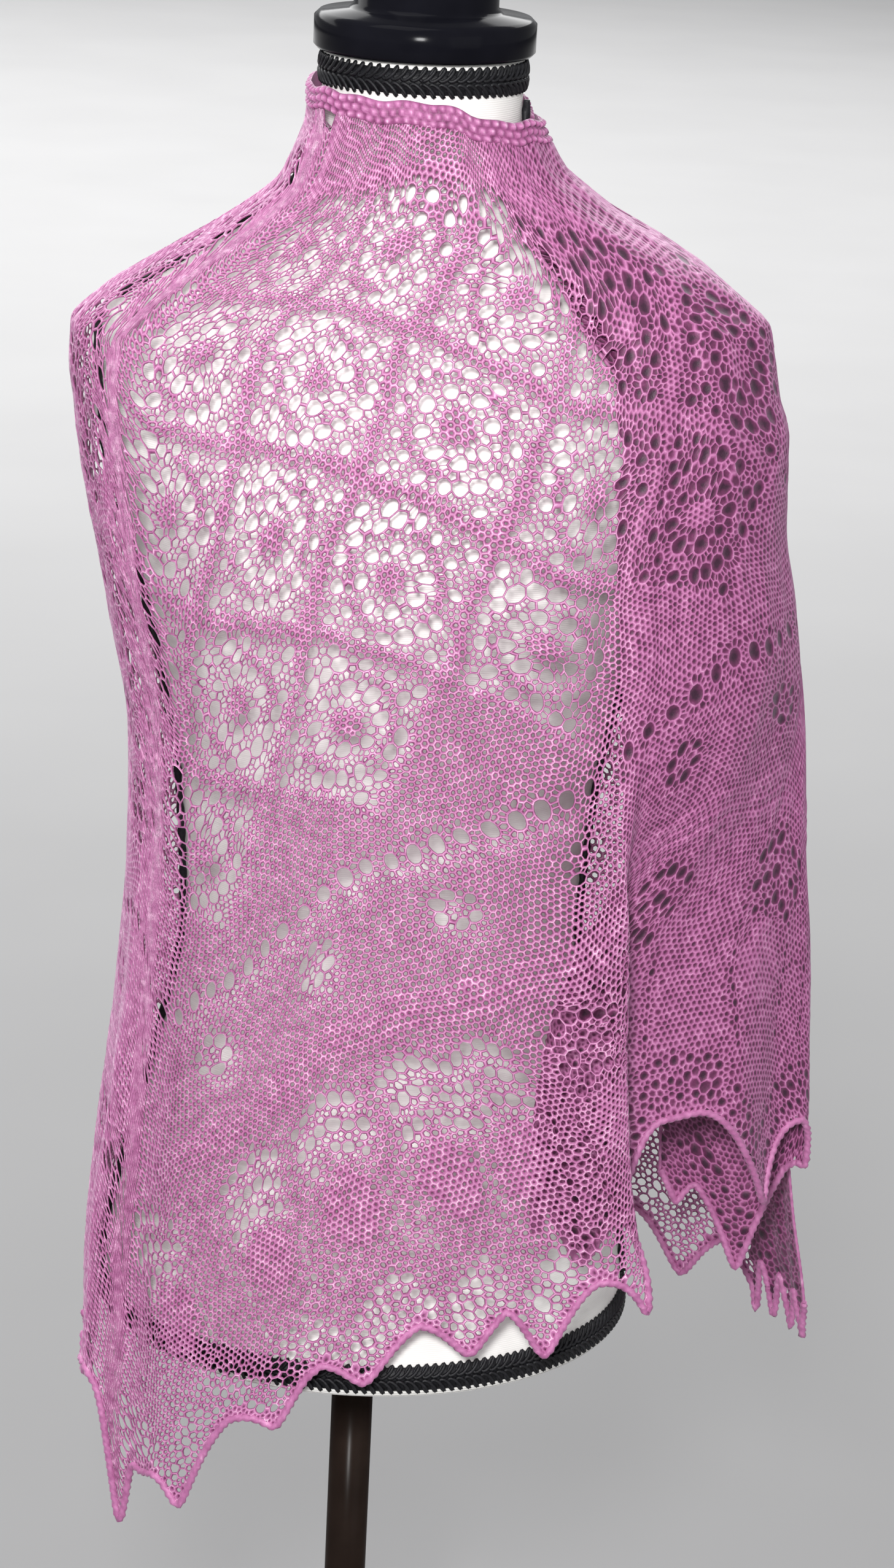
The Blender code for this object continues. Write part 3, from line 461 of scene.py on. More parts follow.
def eyelet_seeds(holes, wide):
    """The centre and the ring of stitches round each eyelet, in chart millimetres."""
    holes = np.array(holes)
    centres, reach = holes[:, :2], RING_OUT * holes[:, 2:]
    rings = []
    for centre, (a, b) in zip(centres, reach):
        count = max(9, round(math.pi * (a + b) / (0.92 * wide)))
        turn = 2 * math.pi * np.arange(count) / count
        rings.append(centre + np.stack([a * np.cos(turn), b * np.sin(turn)], -1))
    return centres, np.concatenate(rings), reach


def keep_apart(points, gap):
    """Drops points nearer than gap to an earlier one."""
    keep = np.ones(len(points), bool)
    for i in range(1, len(points)):
        keep[i] = (oval(points[:i][keep[:i]], points[i], gap, gap) > 1).all()
    return points[keep]


def seed_points(chart, holes, random):
    """Stitch centres as (across, up), with those of eyelets in their places."""
    wide = chart.plan["wide"]
    rows = []
    for i, up in enumerate(chart.rows):
        low, high = chart.arc[i, 0], chart.arc[i, -1]
        shift = wide / 2 if i % 2 else 0.0
        across = np.arange(math.floor(low / wide) * wide + shift, high, wide)
        rows.append(np.stack([across, np.full(len(across), up)], -1))
    seeds = np.concatenate(rows)
    seeds += random.normal(0, SEED_JITTER * wide, seeds.shape)
    centres, ring, reach = eyelet_seeds(holes, wide)
    keep, clear = np.ones(len(seeds), bool), np.ones(len(ring), bool)
    for centre, (a, b) in zip(centres, reach):
        near = np.flatnonzero(np.abs(seeds[:, 0] - centre[0]) < a + 4)
        inside = oval(seeds[near], centre, a + RING_CLEAR * wide, b + RING_CLEAR * wide) <= 1
        keep[near[inside]] = False
        clear &= oval(ring, centre, a - 0.4, b - 0.4) > 1
    ring = keep_apart(ring[clear], RING_APART * wide)
    seeds = np.concatenate([centres, ring, seeds[keep]])
    return seeds, np.arange(len(seeds)) < len(centres)


def triangulate(seeds):
    made = delaunay_2d_cdt([Vector(p) for p in seeds], [], [], 0, 1e-5)
    source = np.array([group[0] for group in made[3]])
    triangles = source[np.array(made[2])]
    place = seeds[triangles]
    first, second = place[:, 1] - place[:, 0], place[:, 2] - place[:, 0]
    turned = first[:, 0] * second[:, 1] - first[:, 1] * second[:, 0] < 0
    triangles[turned] = triangles[turned][:, ::-1]
    return triangles


def shared_edges(triangles):
    """The two triangles on each edge, with the corner numbers that the edge has in both."""
    count = len(triangles)
    start = triangles.T.ravel()
    stop = np.roll(triangles, -1, axis=1).T.ravel()
    corner = np.repeat(np.arange(3), count)
    owner = np.tile(np.arange(count), 3)
    size = int(triangles.max()) + 1
    key = np.minimum(start, stop).astype(np.int64) * size + np.maximum(start, stop)
    order = np.argsort(key, kind="stable")
    same = np.flatnonzero(key[order][1:] == key[order][:-1])
    one, two = order[same], order[same + 1]
    return start[one], stop[one], owner[one], corner[one], owner[two], corner[two]


class Net:
    """The yarn net of one sheet, as points and faces that are shared out between its stretches."""

    def __init__(self, chart, holes, random):
        seeds, eyes = seed_points(chart, holes, random)
        triangles = triangulate(seeds)
        pulled, lifted = drift(seeds[:, 0], seeds[:, 1])
        self.knot = chart.knot(pulled, lifted)
        self.down = chart.down(self.knot, lifted)
        strand, rise, light, closed, shade_lined = knit_weight(chart, seeds, self.knot, self.down, eyes)
        uneven = random.normal(0, 1, len(strand)).clip(-1.5, 1.5)
        strand = strand * (1 + STRAND["uneven"] * uneven)
        node = seeds[triangles].mean(1)
        share = opening(seeds, triangles, node, strand)[triangles][..., None]
        inner = seeds[triangles] + share * (node[:, None, :] - seeds[triangles])
        foot = rise - (STRAND_SINK + STRAND_RISE) * (1 - 0.45 * shade_lined)
        lift = np.concatenate([rise[triangles].mean(1), foot[triangles].ravel(), foot - 0.2 * shade_lined])
        self.points = on_cloth(chart, np.concatenate([node, inner.reshape(-1, 2), seeds]), lift)
        # Crest values: painted highlight on the strand crossings, dimmed by painted shade where a stretch
        # lies in shadow, and painted shade at the strands' feet and in the stitch middles.
        low = np.full(len(triangles) * 3, CREST_SHADE["inner"])
        middle = np.where(eyes, CREST_SHADE["eyelet"], CREST_SHADE["middle"])
        self.crest = np.concatenate([light[triangles].mean(1), low, middle])
        self.join(triangles, self.drawn(chart), closed, shade_lined)

    def drawn(self, chart):
        """Which stitches lie on the cloth."""
        sheet, net = chart.sheet, chart.plan
        along = (self.knot > net["first"] - 0.01) & (self.knot < net["last"] + 0.01)
        return along & (self.down > net_top(sheet, self.knot)) & (self.down < sheet.hem(self.knot) - 0.6)

    def join(self, triangles, drawn, closed, shade_lined):
        """The strand faces round every stitch, and a dark lining of painted shade across the holes of those
        with a layer in shadow close behind.
        """
        a, b, t1, k1, t2, k2 = shared_edges(triangles)
        nodes = len(triangles)
        quads, owners = [], []
        for seed, corner1, corner2, flip in ((a, k1, (k2 + 1) % 3, False), (b, (k1 + 1) % 3, k2, True)):
            good = (triangles[t1, corner1] == seed) & (triangles[t2, corner2] == seed) & drawn[seed]
            quad = np.stack([t1, t2, nodes + 3 * t2 + corner2, nodes + 3 * t1 + corner1], -1)
            # Closed stitches fan in to their middle, which is painted darker as shade.
            full = closed[seed]
            middle = 4 * nodes + seed
            quad[full, 2] = middle[full]
            quad[full, 3] = middle[full]
            # The lining fills the hole from its rim to the dark middle, a sheet of painted shade.
            shade_lining = np.stack([quad[:, 3], quad[:, 2], middle, middle], -1)
            for faces, mine in ((quad, good), (shade_lining, good & shade_lined[seed])):
                quads.append(faces[mine][:, ::-1] if flip else faces[mine])
                owners.append(seed[mine])
        self.quads = np.concatenate(quads)
        self.owners = np.concatenate(owners)

    def piece(self, name, low, high, low_down, high_down, extra, material):
        """The cells whose stitch centres lie between two knots and two levels, as one object."""
        knot, down = self.knot[self.owners], self.down[self.owners]
        mine = (knot >= low) & (knot < high) & (down >= low_down) & (down < high_down)
        quads = self.quads[mine]
        used, index = np.unique(quads, return_inverse=True)
        points, crest = [self.points[used]], [self.crest[used]]
        corners = (list(dict.fromkeys(quad)) for quad in index.reshape(quads.shape).tolist())
        faces = [face for face in corners if len(face) > 2]
        base = len(used)
        for more_points, more_faces in extra:
            points.append(more_points)
            crest.append(np.full(len(more_points), CREST_SHADE["cord"]))
            faces += [[k + base for k in face] for face in more_faces]
            base += len(more_points)
        return mesh_object(name, np.concatenate(points), faces, material, np.concatenate(crest))


def opening(seeds, triangles, node, strand):
    """How far a stitch's hole reaches from its middle to its crossings, as a share."""
    reach = np.linalg.norm(node[:, None, :] - seeds[triangles], axis=-1)
    count = np.bincount(triangles.ravel(), minlength=len(seeds))
    total = np.bincount(triangles.ravel(), weights=reach.ravel(), minlength=len(seeds))
    size = total / np.maximum(count, 1)
    return np.clip(1 - 0.5 * strand / (0.86 * size + 1e-6), 0.12, 0.95)


def on_cloth(chart, flat, lift):
    """Chart places as points in space, lifted off the cloth's middle surface."""
    sheet, net = chart.sheet, chart.plan
    pulled, up = drift(flat[:, 0], flat[:, 1])
    knot = np.clip(chart.knot(pulled, up), net["first"], net["last"])
    down = np.clip(chart.down(knot, up), net_top(sheet, knot), sheet.hem(knot))
    out = net["side"] * (lift + wander(knot, down))
    return sheet.point(knot, down) + sheet.normal(knot, down) * out[:, None]


def net_top(sheet, knot):
    start = sheet.top(knot) + BAND_HEIGHT * 0.72
    if sheet is OUTER:
        start = np.where(knot > 9.3, np.maximum(start, FREE_END_TOP + 0.3), start)
    return start


def wander(knot, down):
    """Slow unevenness of hand knitting along the surface's normal."""
    return (
        0.55 * np.sin(knot * 7.1 + down * 0.021)
        + 0.45 * np.sin(down * 0.061 - knot * 3.3)
        + 0.3 * np.sin(knot * 19.0 + 0.4) * np.cos(down * 0.043)
    )


def mesh_object(name, points, faces, material, crest=None):
    """One object; crest is how high each point of a knitted piece lies on its strand, which the yarn turns
    into painted shade and painted highlight.
    """
    mesh = bpy.data.meshes.new(name)
    mesh.from_pydata((np.asarray(points, float) * MM).tolist(), [], faces)
    mesh.polygons.foreach_set("use_smooth", [True] * len(mesh.polygons))
    if crest is not None:
        mesh.attributes.new("crest", "FLOAT", "POINT").data.foreach_set("value", crest)
    mesh.materials.append(material)
    mesh.update()
    return new_object(name, mesh)


def new_object(name, data):
    thing = bpy.data.objects.new(name, data)
    bpy.context.scene.collection.objects.link(thing)
    return thing


# The lace, in millimetres across the rows of stitches and up from the hem's valleys.
FIELD = {"wide": 121.0, "tall": 136.0, "across": 161.0, "up": 385.0}
# The rings of a rosette: how many eyelets, reach, first and last turn, half width and half height.
ROSETTE = (
    (8, 19.5, 22.5, 337.5, 6.4, 5.7), (7, 35.5, 130, 230, 4.7, 6.2), (5, 34.5, -42, 42, 5.7, 5.0),
    (2, 34.0, 68, 96, 4.9, 5.2), (2, 34.0, 264, 292, 4.9, 5.2),
)
CORE = 9.0
ARC = {"reach": 27.5, "half": 1.8}
CHAIN = {"inset": 0.10, "count": 7, "half_wide": 5.3, "half_high": 4.7}
EYELET_ROW = {"up": 290.0, "apart": 15.5, "half_wide": 4.9, "half_high": 7.2}
FLOWERS = {"up": 249.0, "apart": 84.0, "first": 8.0, "ring": 11.2, "petals": 6, "half": 4.9}
RIDGES = (184.0, 193.0, 202.0)
# The ladders over each point of the hem: height, steps, distance of the steps and half height.
ARCHES = ((166, 6, 8.0, 6.8), (147, 6, 8.0, 6.6), (128, 5, 8.0, 6.2))
ARCH_FALL = 0.62
HEM_BAND = 7.5
ARCH_HALF = 3.7
LEAF = {"up": 86.0, "half_wide": 18.0, "half_high": 27.0, "aside": 21.5, "low": 44.0, "step": 10.4}

# The rows along the hem: lift, distance of the eyelets, half width and half height.
HEM_ROWS = ((8.5, 9.8, 4.2, 3.6), (20.0, 10.2, 4.6, 4.2), (32.0, 10.6, 4.2, 4.0))
HEM_CORD = {"step": 1.3, "radius": 2.2, "deep": 0.22}
SIDE_CORD = {"step": 1.4, "radius": 1.0, "deep": 0.16}


def rose_centres(chart, first, last):
    """Centres of the rosettes, set half-drop."""
    places = []
    for row in range(8):
        for column in range(-6, 9):
            across = FIELD["across"] + (column + 0.5 * (row % 2)) * FIELD["wide"]
            places.append((across, FIELD["up"] + row * FIELD["tall"] / 2))
    return chart.held(places, first, last)


def rosette(across, up):
    """The eyelets of one rosette, then the chains along its frame."""
    holes = []
    for count, reach, start, stop, half_wide, half_high in ROSETTE:
        for turn in np.radians(np.linspace(start, stop, count)):
            x, y = across + reach * math.sin(turn), up + reach * math.cos(turn)
            holes.append((x, y, half_wide, half_high))
    half = 0.5 - CHAIN["inset"]
    for side in (-1, 1):
        for end in (-1, 1):
            for i in range(CHAIN["count"]):
                share = (i + 0.5) / CHAIN["count"]
                x, y = side * share * half * FIELD["wide"], end * (1 - share) * half * FIELD["tall"]
                holes.append((across + x, up + y, CHAIN["half_wide"], CHAIN["half_high"]))
    return holes


def apart(holes, random):
    """Eyelets of uneven size, without those that would run into an earlier one."""
    kept = []
    for across, up, half_wide, half_high in holes:
        size = random.uniform(0.92, 1.08)
        across += random.uniform(-0.6, 0.6)
        up += random.uniform(-0.6, 0.6)
        half_wide, half_high = half_wide * size, half_high * size
        near = np.array(kept).reshape(-1, 4)
        if (oval(near, (across, up), near[:, 2] + half_wide, near[:, 3] + half_high) > 0.98).all():
            kept.append((across, up, half_wide, half_high))
    return kept


def eyelet_row(chart, first, last):
    places = [(i * EYELET_ROW["apart"], EYELET_ROW["up"]) for i in range(-20, 50)]
    half = (EYELET_ROW["half_wide"], EYELET_ROW["half_high"])
    return [(*place, *half) for place in chart.held(places, first, last)]


def flowers(chart, first, last):
    petals = []
    places = [(FLOWERS["first"] + i * FLOWERS["apart"], FLOWERS["up"]) for i in range(-4, 9)]
    for across, up in chart.held(places, first, last):
        for k in range(FLOWERS["petals"]):
            turn = 2 * math.pi * (k + 0.5) / FLOWERS["petals"]
            place = (across + FLOWERS["ring"] * math.cos(turn), up + FLOWERS["ring"] * math.sin(turn))
            petals.append((*place, FLOWERS["half"], FLOWERS["half"]))
    return petals


def point_sides(chart):
    """Eyelets in two rows up the sides of each leaf."""
    holes = []
    for middle in chart.points:
        for k in (-1, 1):
            for i in range(6):
                aside, up = LEAF["aside"] + 0.6 * i, LEAF["low"] + LEAF["step"] * i
                holes.append((middle + k * aside, up, 2.6, 3.6))
    return holes


def hem_rows(chart, first, last):
    """Rows of eyelets that follow the points of the hem."""
    knots = np.linspace(first, last, 4000)
    hem = chart.sheet.hem(knots)
    across, up = chart.across(knots, hem), chart.up(knots, hem)
    run = run_length(np.stack([across, up], -1))
    holes = []
    for lift, step, half_wide, half_high in HEM_ROWS:
        marks = np.arange(0.5 * step, run[-1], step)
        x, y = np.interp(marks, run, across), np.interp(marks, run, up)
        holes += [(float(p), float(q) + lift + 4.0, half_wide, half_high) for p, q in zip(x, y)]
    return holes


def arches(chart, first, last):
    """Ladders of eyelets, stepped down from the middle of each point of the hem."""
    ladders = []
    for middle in chart.points:
        for up, steps, step, half_high in ARCHES:
            shifts = [step * (i - (steps - 1) / 2) for i in range(steps)]
            places = [(middle + shift, up - ARCH_FALL * abs(shift)) for shift in shifts]
            ladders += [(*place, ARCH_HALF, half_high) for place in chart.held(places, first, last)]
    return ladders


def lace_holes(chart, first, last, random):
    """Every eyelet of a sheet as (across, up, half width, half height)."""
    holes = []
    for across, up in rose_centres(chart, first, last):
        holes += rosette(across, up)
    holes += eyelet_row(chart, first, last) + flowers(chart, first, last) + arches(chart, first, last)
    return apart(holes + point_sides(chart) + hem_rows(chart, first, last), random)


def frame_share(across, up):
    """The height of each chart place's rosette, the place in it, and how far its frame lies."""
    a, b = (across - FIELD["across"]) / FIELD["wide"], (up - FIELD["up"]) / FIELD["tall"]
    s, t = np.round(a + b), np.round(b - a)
    edge = 0.5 - np.maximum(np.abs(a + b - s), np.abs(b - a - t))
    x, y = (a - (s - t) / 2) * FIELD["wide"], (b - (s + t) / 2) * FIELD["tall"]
    return FIELD["up"] + (s + t) / 2 * FIELD["tall"], x, y, edge


def knit_weight(chart, seeds, knot, down, eyes):
    """Strand width, height, painted shade for stretches in shadow, and whether a stitch is closed round a
    dark middle or lined with a dark sheet of painted shade for the layer in shadow behind it.
    """
    across, up = seeds[:, 0], seeds[:, 1]
    centre_up, x, y, edge = frame_share(across, up)
    field = centre_up > FIELD["up"] - 1
    reach = np.hypot(x, 0.9 * y)
    arc = np.abs(reach - ARC["reach"]) < ARC["half"]
    dense = field & ((edge < 0.045) | (reach < CORE) | arc)
    strand = np.where(dense, STRAND["frame"], np.where(field, STRAND["field"], STRAND["plain"]))
    rise = np.where(dense, STRAND_RISE + 0.35, STRAND_RISE)
    for ridge in RIDGES:
        bump = np.clip(1 - np.abs(up - ridge) / 4.4, 0, 1)
        rise = rise + 0.9 * bump
        strand = strand + 1.0 * bump
    strand = np.where(up < RIDGES[0] - 8, STRAND["border"], strand)
    for middle in chart.points:
        aside = np.abs(across - middle) / LEAF["half_wide"]
        above = np.abs(up - LEAF["up"]) / LEAF["half_high"]
        leaf = aside**1.5 + above**1.5 < 1
        strand = np.where(leaf, STRAND["leaf"], strand)
        rise = rise + 0.4 * leaf
    strand = strand + STRAND["neck_more"] * (1 - ease(down, 60.0, 130.0))
    edge_band = chart.sheet.hem(knot) - down < HEM_BAND
    strand = np.where(edge_band, STRAND["edge"], strand)
    # Painted shade: the outer sheet's yarn is darker from its fold at the right on and darker still on the
    # free end, and the inner sheet's is much darker where it lies under the outer one.
    if chart.sheet is OUTER:
        strand = strand + STRAND["fold_more"] * ease(knot, 4.9, 5.4) * (knot < 9.0)
        light = 1 - 0.22 * ease(knot, 5.0, 5.6) - 0.2 * (knot > 9.2)
    else:
        light = 1 - 0.55 * ease(knot, 4.8, 5.4)
    # Painted shade: these stitches get a dark lining standing for the layer in shadow behind them.
    shade_lined = knot > SHADE_LINED_FROM
    eyelet = np.where(up[eyes] < RIDGES[0], STRAND["border_eyelet"], STRAND["eyelet"])
    strand[eyes] = eyelet + STRAND["lined_more"] * shade_lined[eyes]
    return strand, rise, light, edge_band & ~eyes & ~shade_lined, shade_lined


def tube(spine, radius, sides, out=None, bumps=None):
    """Points and faces of a round cord along a spine; bumps gives each ring's radius share."""
    ahead = unit(np.gradient(spine, axis=0))
    across = np.cross(ahead, np.array([0.0, 0.0, 1.0]) if out is None else out)
    weak = np.linalg.norm(across, axis=1) < 0.1
    across[weak] = np.cross(ahead[weak], np.array([1.0, 0.0, 0.0]))
    across = unit(across)
    up = np.cross(across, ahead)
    points = []
    for i in range(sides):
        turn = 2 * math.pi * i / sides
        reach = np.full(len(spine), radius) if bumps is None else radius * bumps[:, i]
        points.append(spine + reach[:, None] * (math.cos(turn) * across + math.sin(turn) * up))
    return np.stack(points, 1).reshape(-1, 3), ring_faces(len(spine), sides)


def edge_cord(sheet, net, knots, downs, step, radius, deep):
    """A plied cord laid along a path of the sheet."""
    knots, downs = even_steps(sheet, knots, downs, step)
    out = net["side"] * sheet.normal(knots, downs)
    spine = sheet.point(knots, downs) + out * (0.2 + wander(knots, downs))[:, None]
    return tube(spine, radius, 7, out, twist(run_length(spine), 7, 5.2, deep))


def twist(length, sides, pitch, deep):
    """Radius shares that wind round a cord like plied yarn."""
    turn = 2 * math.pi * np.arange(sides) / sides
    phase = 2 * math.pi * length[:, None] / pitch
    return 1 + deep * np.cos(2 * turn[None, :] - phase)


def run_length(points):
    return np.concatenate([[0], np.cumsum(np.linalg.norm(np.diff(points, axis=0), axis=1))])


def even_steps(sheet, knots, downs, step):
    """The same path in even steps."""
    run = run_length(sheet.point(knots, downs))
    marks = np.linspace(0, run[-1], max(int(run[-1] / step), 4))
    return np.interp(marks, run, knots), np.interp(marks, run, downs)


def hem_cord(sheet, net, first, last):
    """The thick cast-off edge along the hem."""
    knots = np.linspace(first, last, int((last - first) * 400))
    return edge_cord(sheet, net, knots, sheet.hem(knots), **HEM_CORD)


def side_cord(sheet, net, knot, first, last):
    """The knitted edge down a free side of the sheet."""
    downs = np.linspace(first, last, int((last - first) / 0.5))
    return edge_cord(sheet, net, np.full(len(downs), float(knot)), downs, **SIDE_CORD)


def neck_band(name, sheet, first, last, material):
    """Garter ridges of the rolled neck edge."""
    knots = np.linspace(first, last, 900)
    knots, _ = even_steps(sheet, knots, sheet.top(knots) + 0.5 * BAND_HEIGHT, 0.9)
    run = run_length(sheet.point(knots, sheet.top(knots) + 0.5 * BAND_HEIGHT))
    sway = 0.9 * np.sin(run / 11.0) + 0.7 * np.sin(run / 4.3 + 1.0)
    rings, crest = [], []
    for i in range(BAND_SIDES):
        turn = 2 * math.pi * i / BAND_SIDES
        share, side = 0.5 - 0.5 * math.cos(turn), math.sin(turn)
        downs = sheet.top(knots) + share * BAND_HEIGHT + sway
        ridge = abs(math.sin(0.5 * BAND_RIDGES * 2 * math.pi * share))
        phase = run / BAND_STITCH + 0.5 * math.floor(share * BAND_RIDGES) + 0.3 * np.sin(run / 17.0)
        stitch = 0.5 + 0.5 * np.cos(2 * math.pi * phase)
        slack = 1 + 0.2 * np.sin(run / 23.0) + 0.15 * np.sin(run / 9.1 + 5 * share)
        # The crest values paint the band: painted highlight on the ridges' stitches, painted shade between
        # them and on the inner side.
        if side > 0:
            out = 0.3 * BAND_THICK * side + ridge * (0.2 + 2.0 * stitch) * slack
            crest.append(0.1 + 0.9 * ridge * stitch)
        else:
            out = 0.3 * CLOTH * side + 0 * stitch
            crest.append(0.3 + 0 * stitch)
        normal = unit(sheet.normal(knots, downs) * (1, 1, 0))
        place = sheet.point(knots, downs)
        outward = np.sign((normal[:, :2] * place[:, :2]).sum(1))
        rings.append(place + normal * (outward * out)[:, None])
    points = np.stack(rings, 1).reshape(-1, 3)
    return mesh_object(name, points, ring_faces(len(knots), BAND_SIDES), material, np.stack(crest, 1).ravel())


def ring_faces(rows, sides, closed=False):
    faces = []
    for k in range(rows if closed else rows - 1):
        n = (k + 1) % rows
        for i in range(sides):
            j = (i + 1) % sides
            faces.append([k * sides + i, k * sides + j, n * sides + j, n * sides + i])
    if not closed:
        faces.append([i for i in range(sides)][::-1])
        faces.append([(rows - 1) * sides + i for i in range(sides)])
    return faces


# The dress form.
def form_point(down, angle, out=0.0):
    at = lambda name: smooth(FORM, "down", name, down)
    turn = np.radians(angle)
    sine, cosine = np.sin(turn), np.cos(turn)
    depth = np.where(cosine > 0, at("front"), at("back")) + out
    x = at("middle") + (at("side") + out) * sine
    return np.stack([x, -depth * cosine, NECK_TOP - down + 0 * x], -1)


def make_torso(material):
    angles = np.arange(TORSO_SIDES) * 360 / TORSO_SIDES
    downs = np.unique(np.concatenate([np.linspace(0, TORSO_DOWN, 150), FORM["down"]]))
    points = form_point(downs[:, None], angles).reshape(-1, 3)
    return mesh_object("torso_form", points, ring_faces(len(downs), TORSO_SIDES), material)


def round_piece(name, profile, base, material, sides=96):
    """A piece turned about the upright axis, with its corners kept."""
    points, rows = [], []
    for radius, height in profile:
        count = 1 if radius == 0 else sides
        rows.append(range(len(points), len(points) + count))
        for i in range(count):
            turn = 2 * math.pi * i / sides
            x, y = base[0] + radius * math.cos(turn), base[1] + radius * math.sin(turn)
            points.append((x, y, base[2] + height))
    faces = []
    for low, high in zip(rows, rows[1:]):
        for i in range(sides):
            k = (i + 1) % sides
            if len(low) == 1:
                faces.append([low[0], high[k], high[i]])
            elif len(high) == 1:
                faces.append([low[i], low[k], high[0]])
            else:
                faces.append([low[i], low[k], high[k], high[i]])
    return mesh_object(name, np.array(points), faces, material)


def gimp_braid(name, low, high, material):
    """Two rows of slanted loops that meet along the middle, over a flat ground, round the form."""
    middle, half, pitch = (low + high) / 2, abs(high - low) / 2, GIMP["pitch"]
    turns = np.linspace(0, 360, 721)
    run = run_length(form_point(middle + 0 * turns, turns))
    count = round(run[-1] / pitch)
    marks = np.linspace(0, run[-1], count * GIMP["steps"], endpoint=False)
    phase = 2 * math.pi * marks * count / run[-1]
    share = 0.52 - 0.42 * np.cos(phase)
    along = marks + pitch * (0.95 * share + 0.34 * np.sin(phase))
    angle = np.interp(along % run[-1], run, turns)
    out = GIMP["lift"] + 0.7 * np.sin(phase + 0.6)
    points, faces = [], []
    for way in (-1, 1):
        spine = form_point(middle + way * half * share, angle, out)
        more, loops = tube(np.concatenate([spine, spine[:1]]), GIMP["radius"], 6)
        faces += [[k + len(points) for k in face] for face in loops]
        points += more.tolist()
    ground = [form_point(middle + half * side, turns[:-1], lift) for side, lift in GIMP_GROUND]
    faces += [[k + len(points) for k in face] for face in ring_faces(len(turns) - 1, 4, True)]
    points += np.stack(ground, 1).reshape(-1, 3).tolist()
    return mesh_object(name, np.array(points), faces, material)


def twisted_cord(name, rows, material):
    columns = table(rows, ("down", "angle"))
    downs = np.arange(columns["down"][0], columns["down"][-1], 0.9)
    angle = smooth(columns, "down", "angle", downs)
    spine = form_point(downs, angle, CORD_RADIUS + 0.3)
    points, faces = tube(spine, CORD_RADIUS, 12, None, twist(run_length(spine), 12, 13.0, 0.13))
    return mesh_object(name, points, faces, material)


def make_collar(material):
    radius, height = COLLAR["radius"], COLLAR["height"]
    profile = ((0, 0), (radius - 3, 0), (radius - 1, 1), (radius, 3), (radius, height), (0, height))
    return round_piece("collar_turned", profile, (0, 0, COLLAR_FOOT), material)


def make_base(material):
    wide, thick, crown = BASE["radius"], BASE["height"], BASE["crown"]
    profile = [(0, 0), (wide - 2, 0), (wide - 0.6, 0.6), (wide, 2), (wide, thick - 3)]
    profile += [(wide - 1.2, thick - 1.2), (wide - 4, thick)]
    profile += [(60, thick + crown * 0.6), (22, thick + crown), (0, thick + crown)]
    return round_piece("base_turned", profile, (0, 0, 0), material, 128)


def make_pole(material):
    foot = BASE["height"] + BASE["crown"] + SEAM_GAP
    top = COLLAR_FOOT - SEAM_GAP - foot
    profile = ((0, 0), (POLE_RADIUS, 0), (POLE_RADIUS, top), (0, top))
    return round_piece("pole_turned", profile, (0, 0, foot), material)


# Materials.
# The yarn's ramp, from painted shade deep between the strands to a painted highlight on their crests.
YARN_SHADES = (
    (0.0, (0.035, 0.006, 0.024)), (0.25, (0.13, 0.020, 0.078)), (0.50, (0.33, 0.085, 0.225)),
    (0.80, (0.53, 0.190, 0.39)), (1.0, (0.85, 0.550, 0.72)),
)
FLOOR_HALF = 60000.0


def add_node(tree, kind, **settings):
    node = tree.nodes.new(kind)
    for key, value in settings.items():
        setattr(node, key, value)
    return node


def set_inputs(node, values):
    for key, value in values.items():
        node.inputs[key].default_value = value


def new_surface(name, values):
    """A new material, its nodes and its surface with these plain values."""
    material = bpy.data.materials.new(name)
    material.use_nodes = True
    surface = material.node_tree.nodes["Principled BSDF"]
    set_inputs(surface, values)
    return material, material.node_tree, surface


def noise(tree, scale, detail=2.0):
    where = add_node(tree, "ShaderNodeTexCoord")
    node = add_node(tree, "ShaderNodeTexNoise")
    set_inputs(node, {"Scale": scale, "Detail": detail})
    tree.links.new(where.outputs["Object"], node.inputs["Vector"])
    return node.outputs["Fac"]


def shade(tree, surface, factor, stops):
    """Colours the surface by a factor, through these stops."""
    ramp = add_node(tree, "ShaderNodeValToRGB")
    elements = ramp.color_ramp.elements
    for element, (position, colour) in zip(elements, (stops[0], stops[-1])):
        element.position = position
        element.color = (*colour, 1)
    for position, colour in stops[1:-1]:
        elements.new(position).color = (*colour, 1)
    tree.links.new(factor, ramp.inputs["Fac"])
    tree.links.new(ramp.outputs["Color"], surface.inputs["Base Color"])


def bump(tree, surface, height, distance, strength):
    node = add_node(tree, "ShaderNodeBump")
    set_inputs(node, {"Strength": strength, "Distance": distance})
    tree.links.new(height, node.inputs["Height"])
    tree.links.new(node.outputs["Normal"], surface.inputs["Normal"])


def combine(tree, operation, *terms):
    """A math node whose terms are plain numbers or other nodes' outputs."""
    node = add_node(tree, "ShaderNodeMath", operation=operation)
    for socket, term in zip(node.inputs, terms):
        if isinstance(term, float):
            socket.default_value = term
        else:
            tree.links.new(term, socket)
    return node.outputs[0]


def yarn_material():
    """Soft orchid yarn, with painted shade deep between the strands and a painted highlight along their
    crests.
    """
    sheen = {"Sheen Weight": 0.2, "Sheen Roughness": 0.4, "Sheen Tint": (1.0, 0.75, 0.95, 1)}
    material, tree, surface = new_surface("orchid_yarn", {"Roughness": 0.48, **sheen})
    # The crest attribute carries the painted shade and highlight; the noise adds uneven tone.
    crest = add_node(tree, "ShaderNodeAttribute", attribute_name="crest").outputs["Fac"]
    uneven = combine(tree, "MULTIPLY", noise(tree, 190.0, 3.0), 1.1)
    blend = combine(tree, "MULTIPLY_ADD", crest, 0.9, uneven)
    shade(tree, surface, combine(tree, "MULTIPLY", blend, 0.62), YARN_SHADES)
    bump(tree, surface, noise(tree, 1700.0), 0.0004, 0.7)
    return material


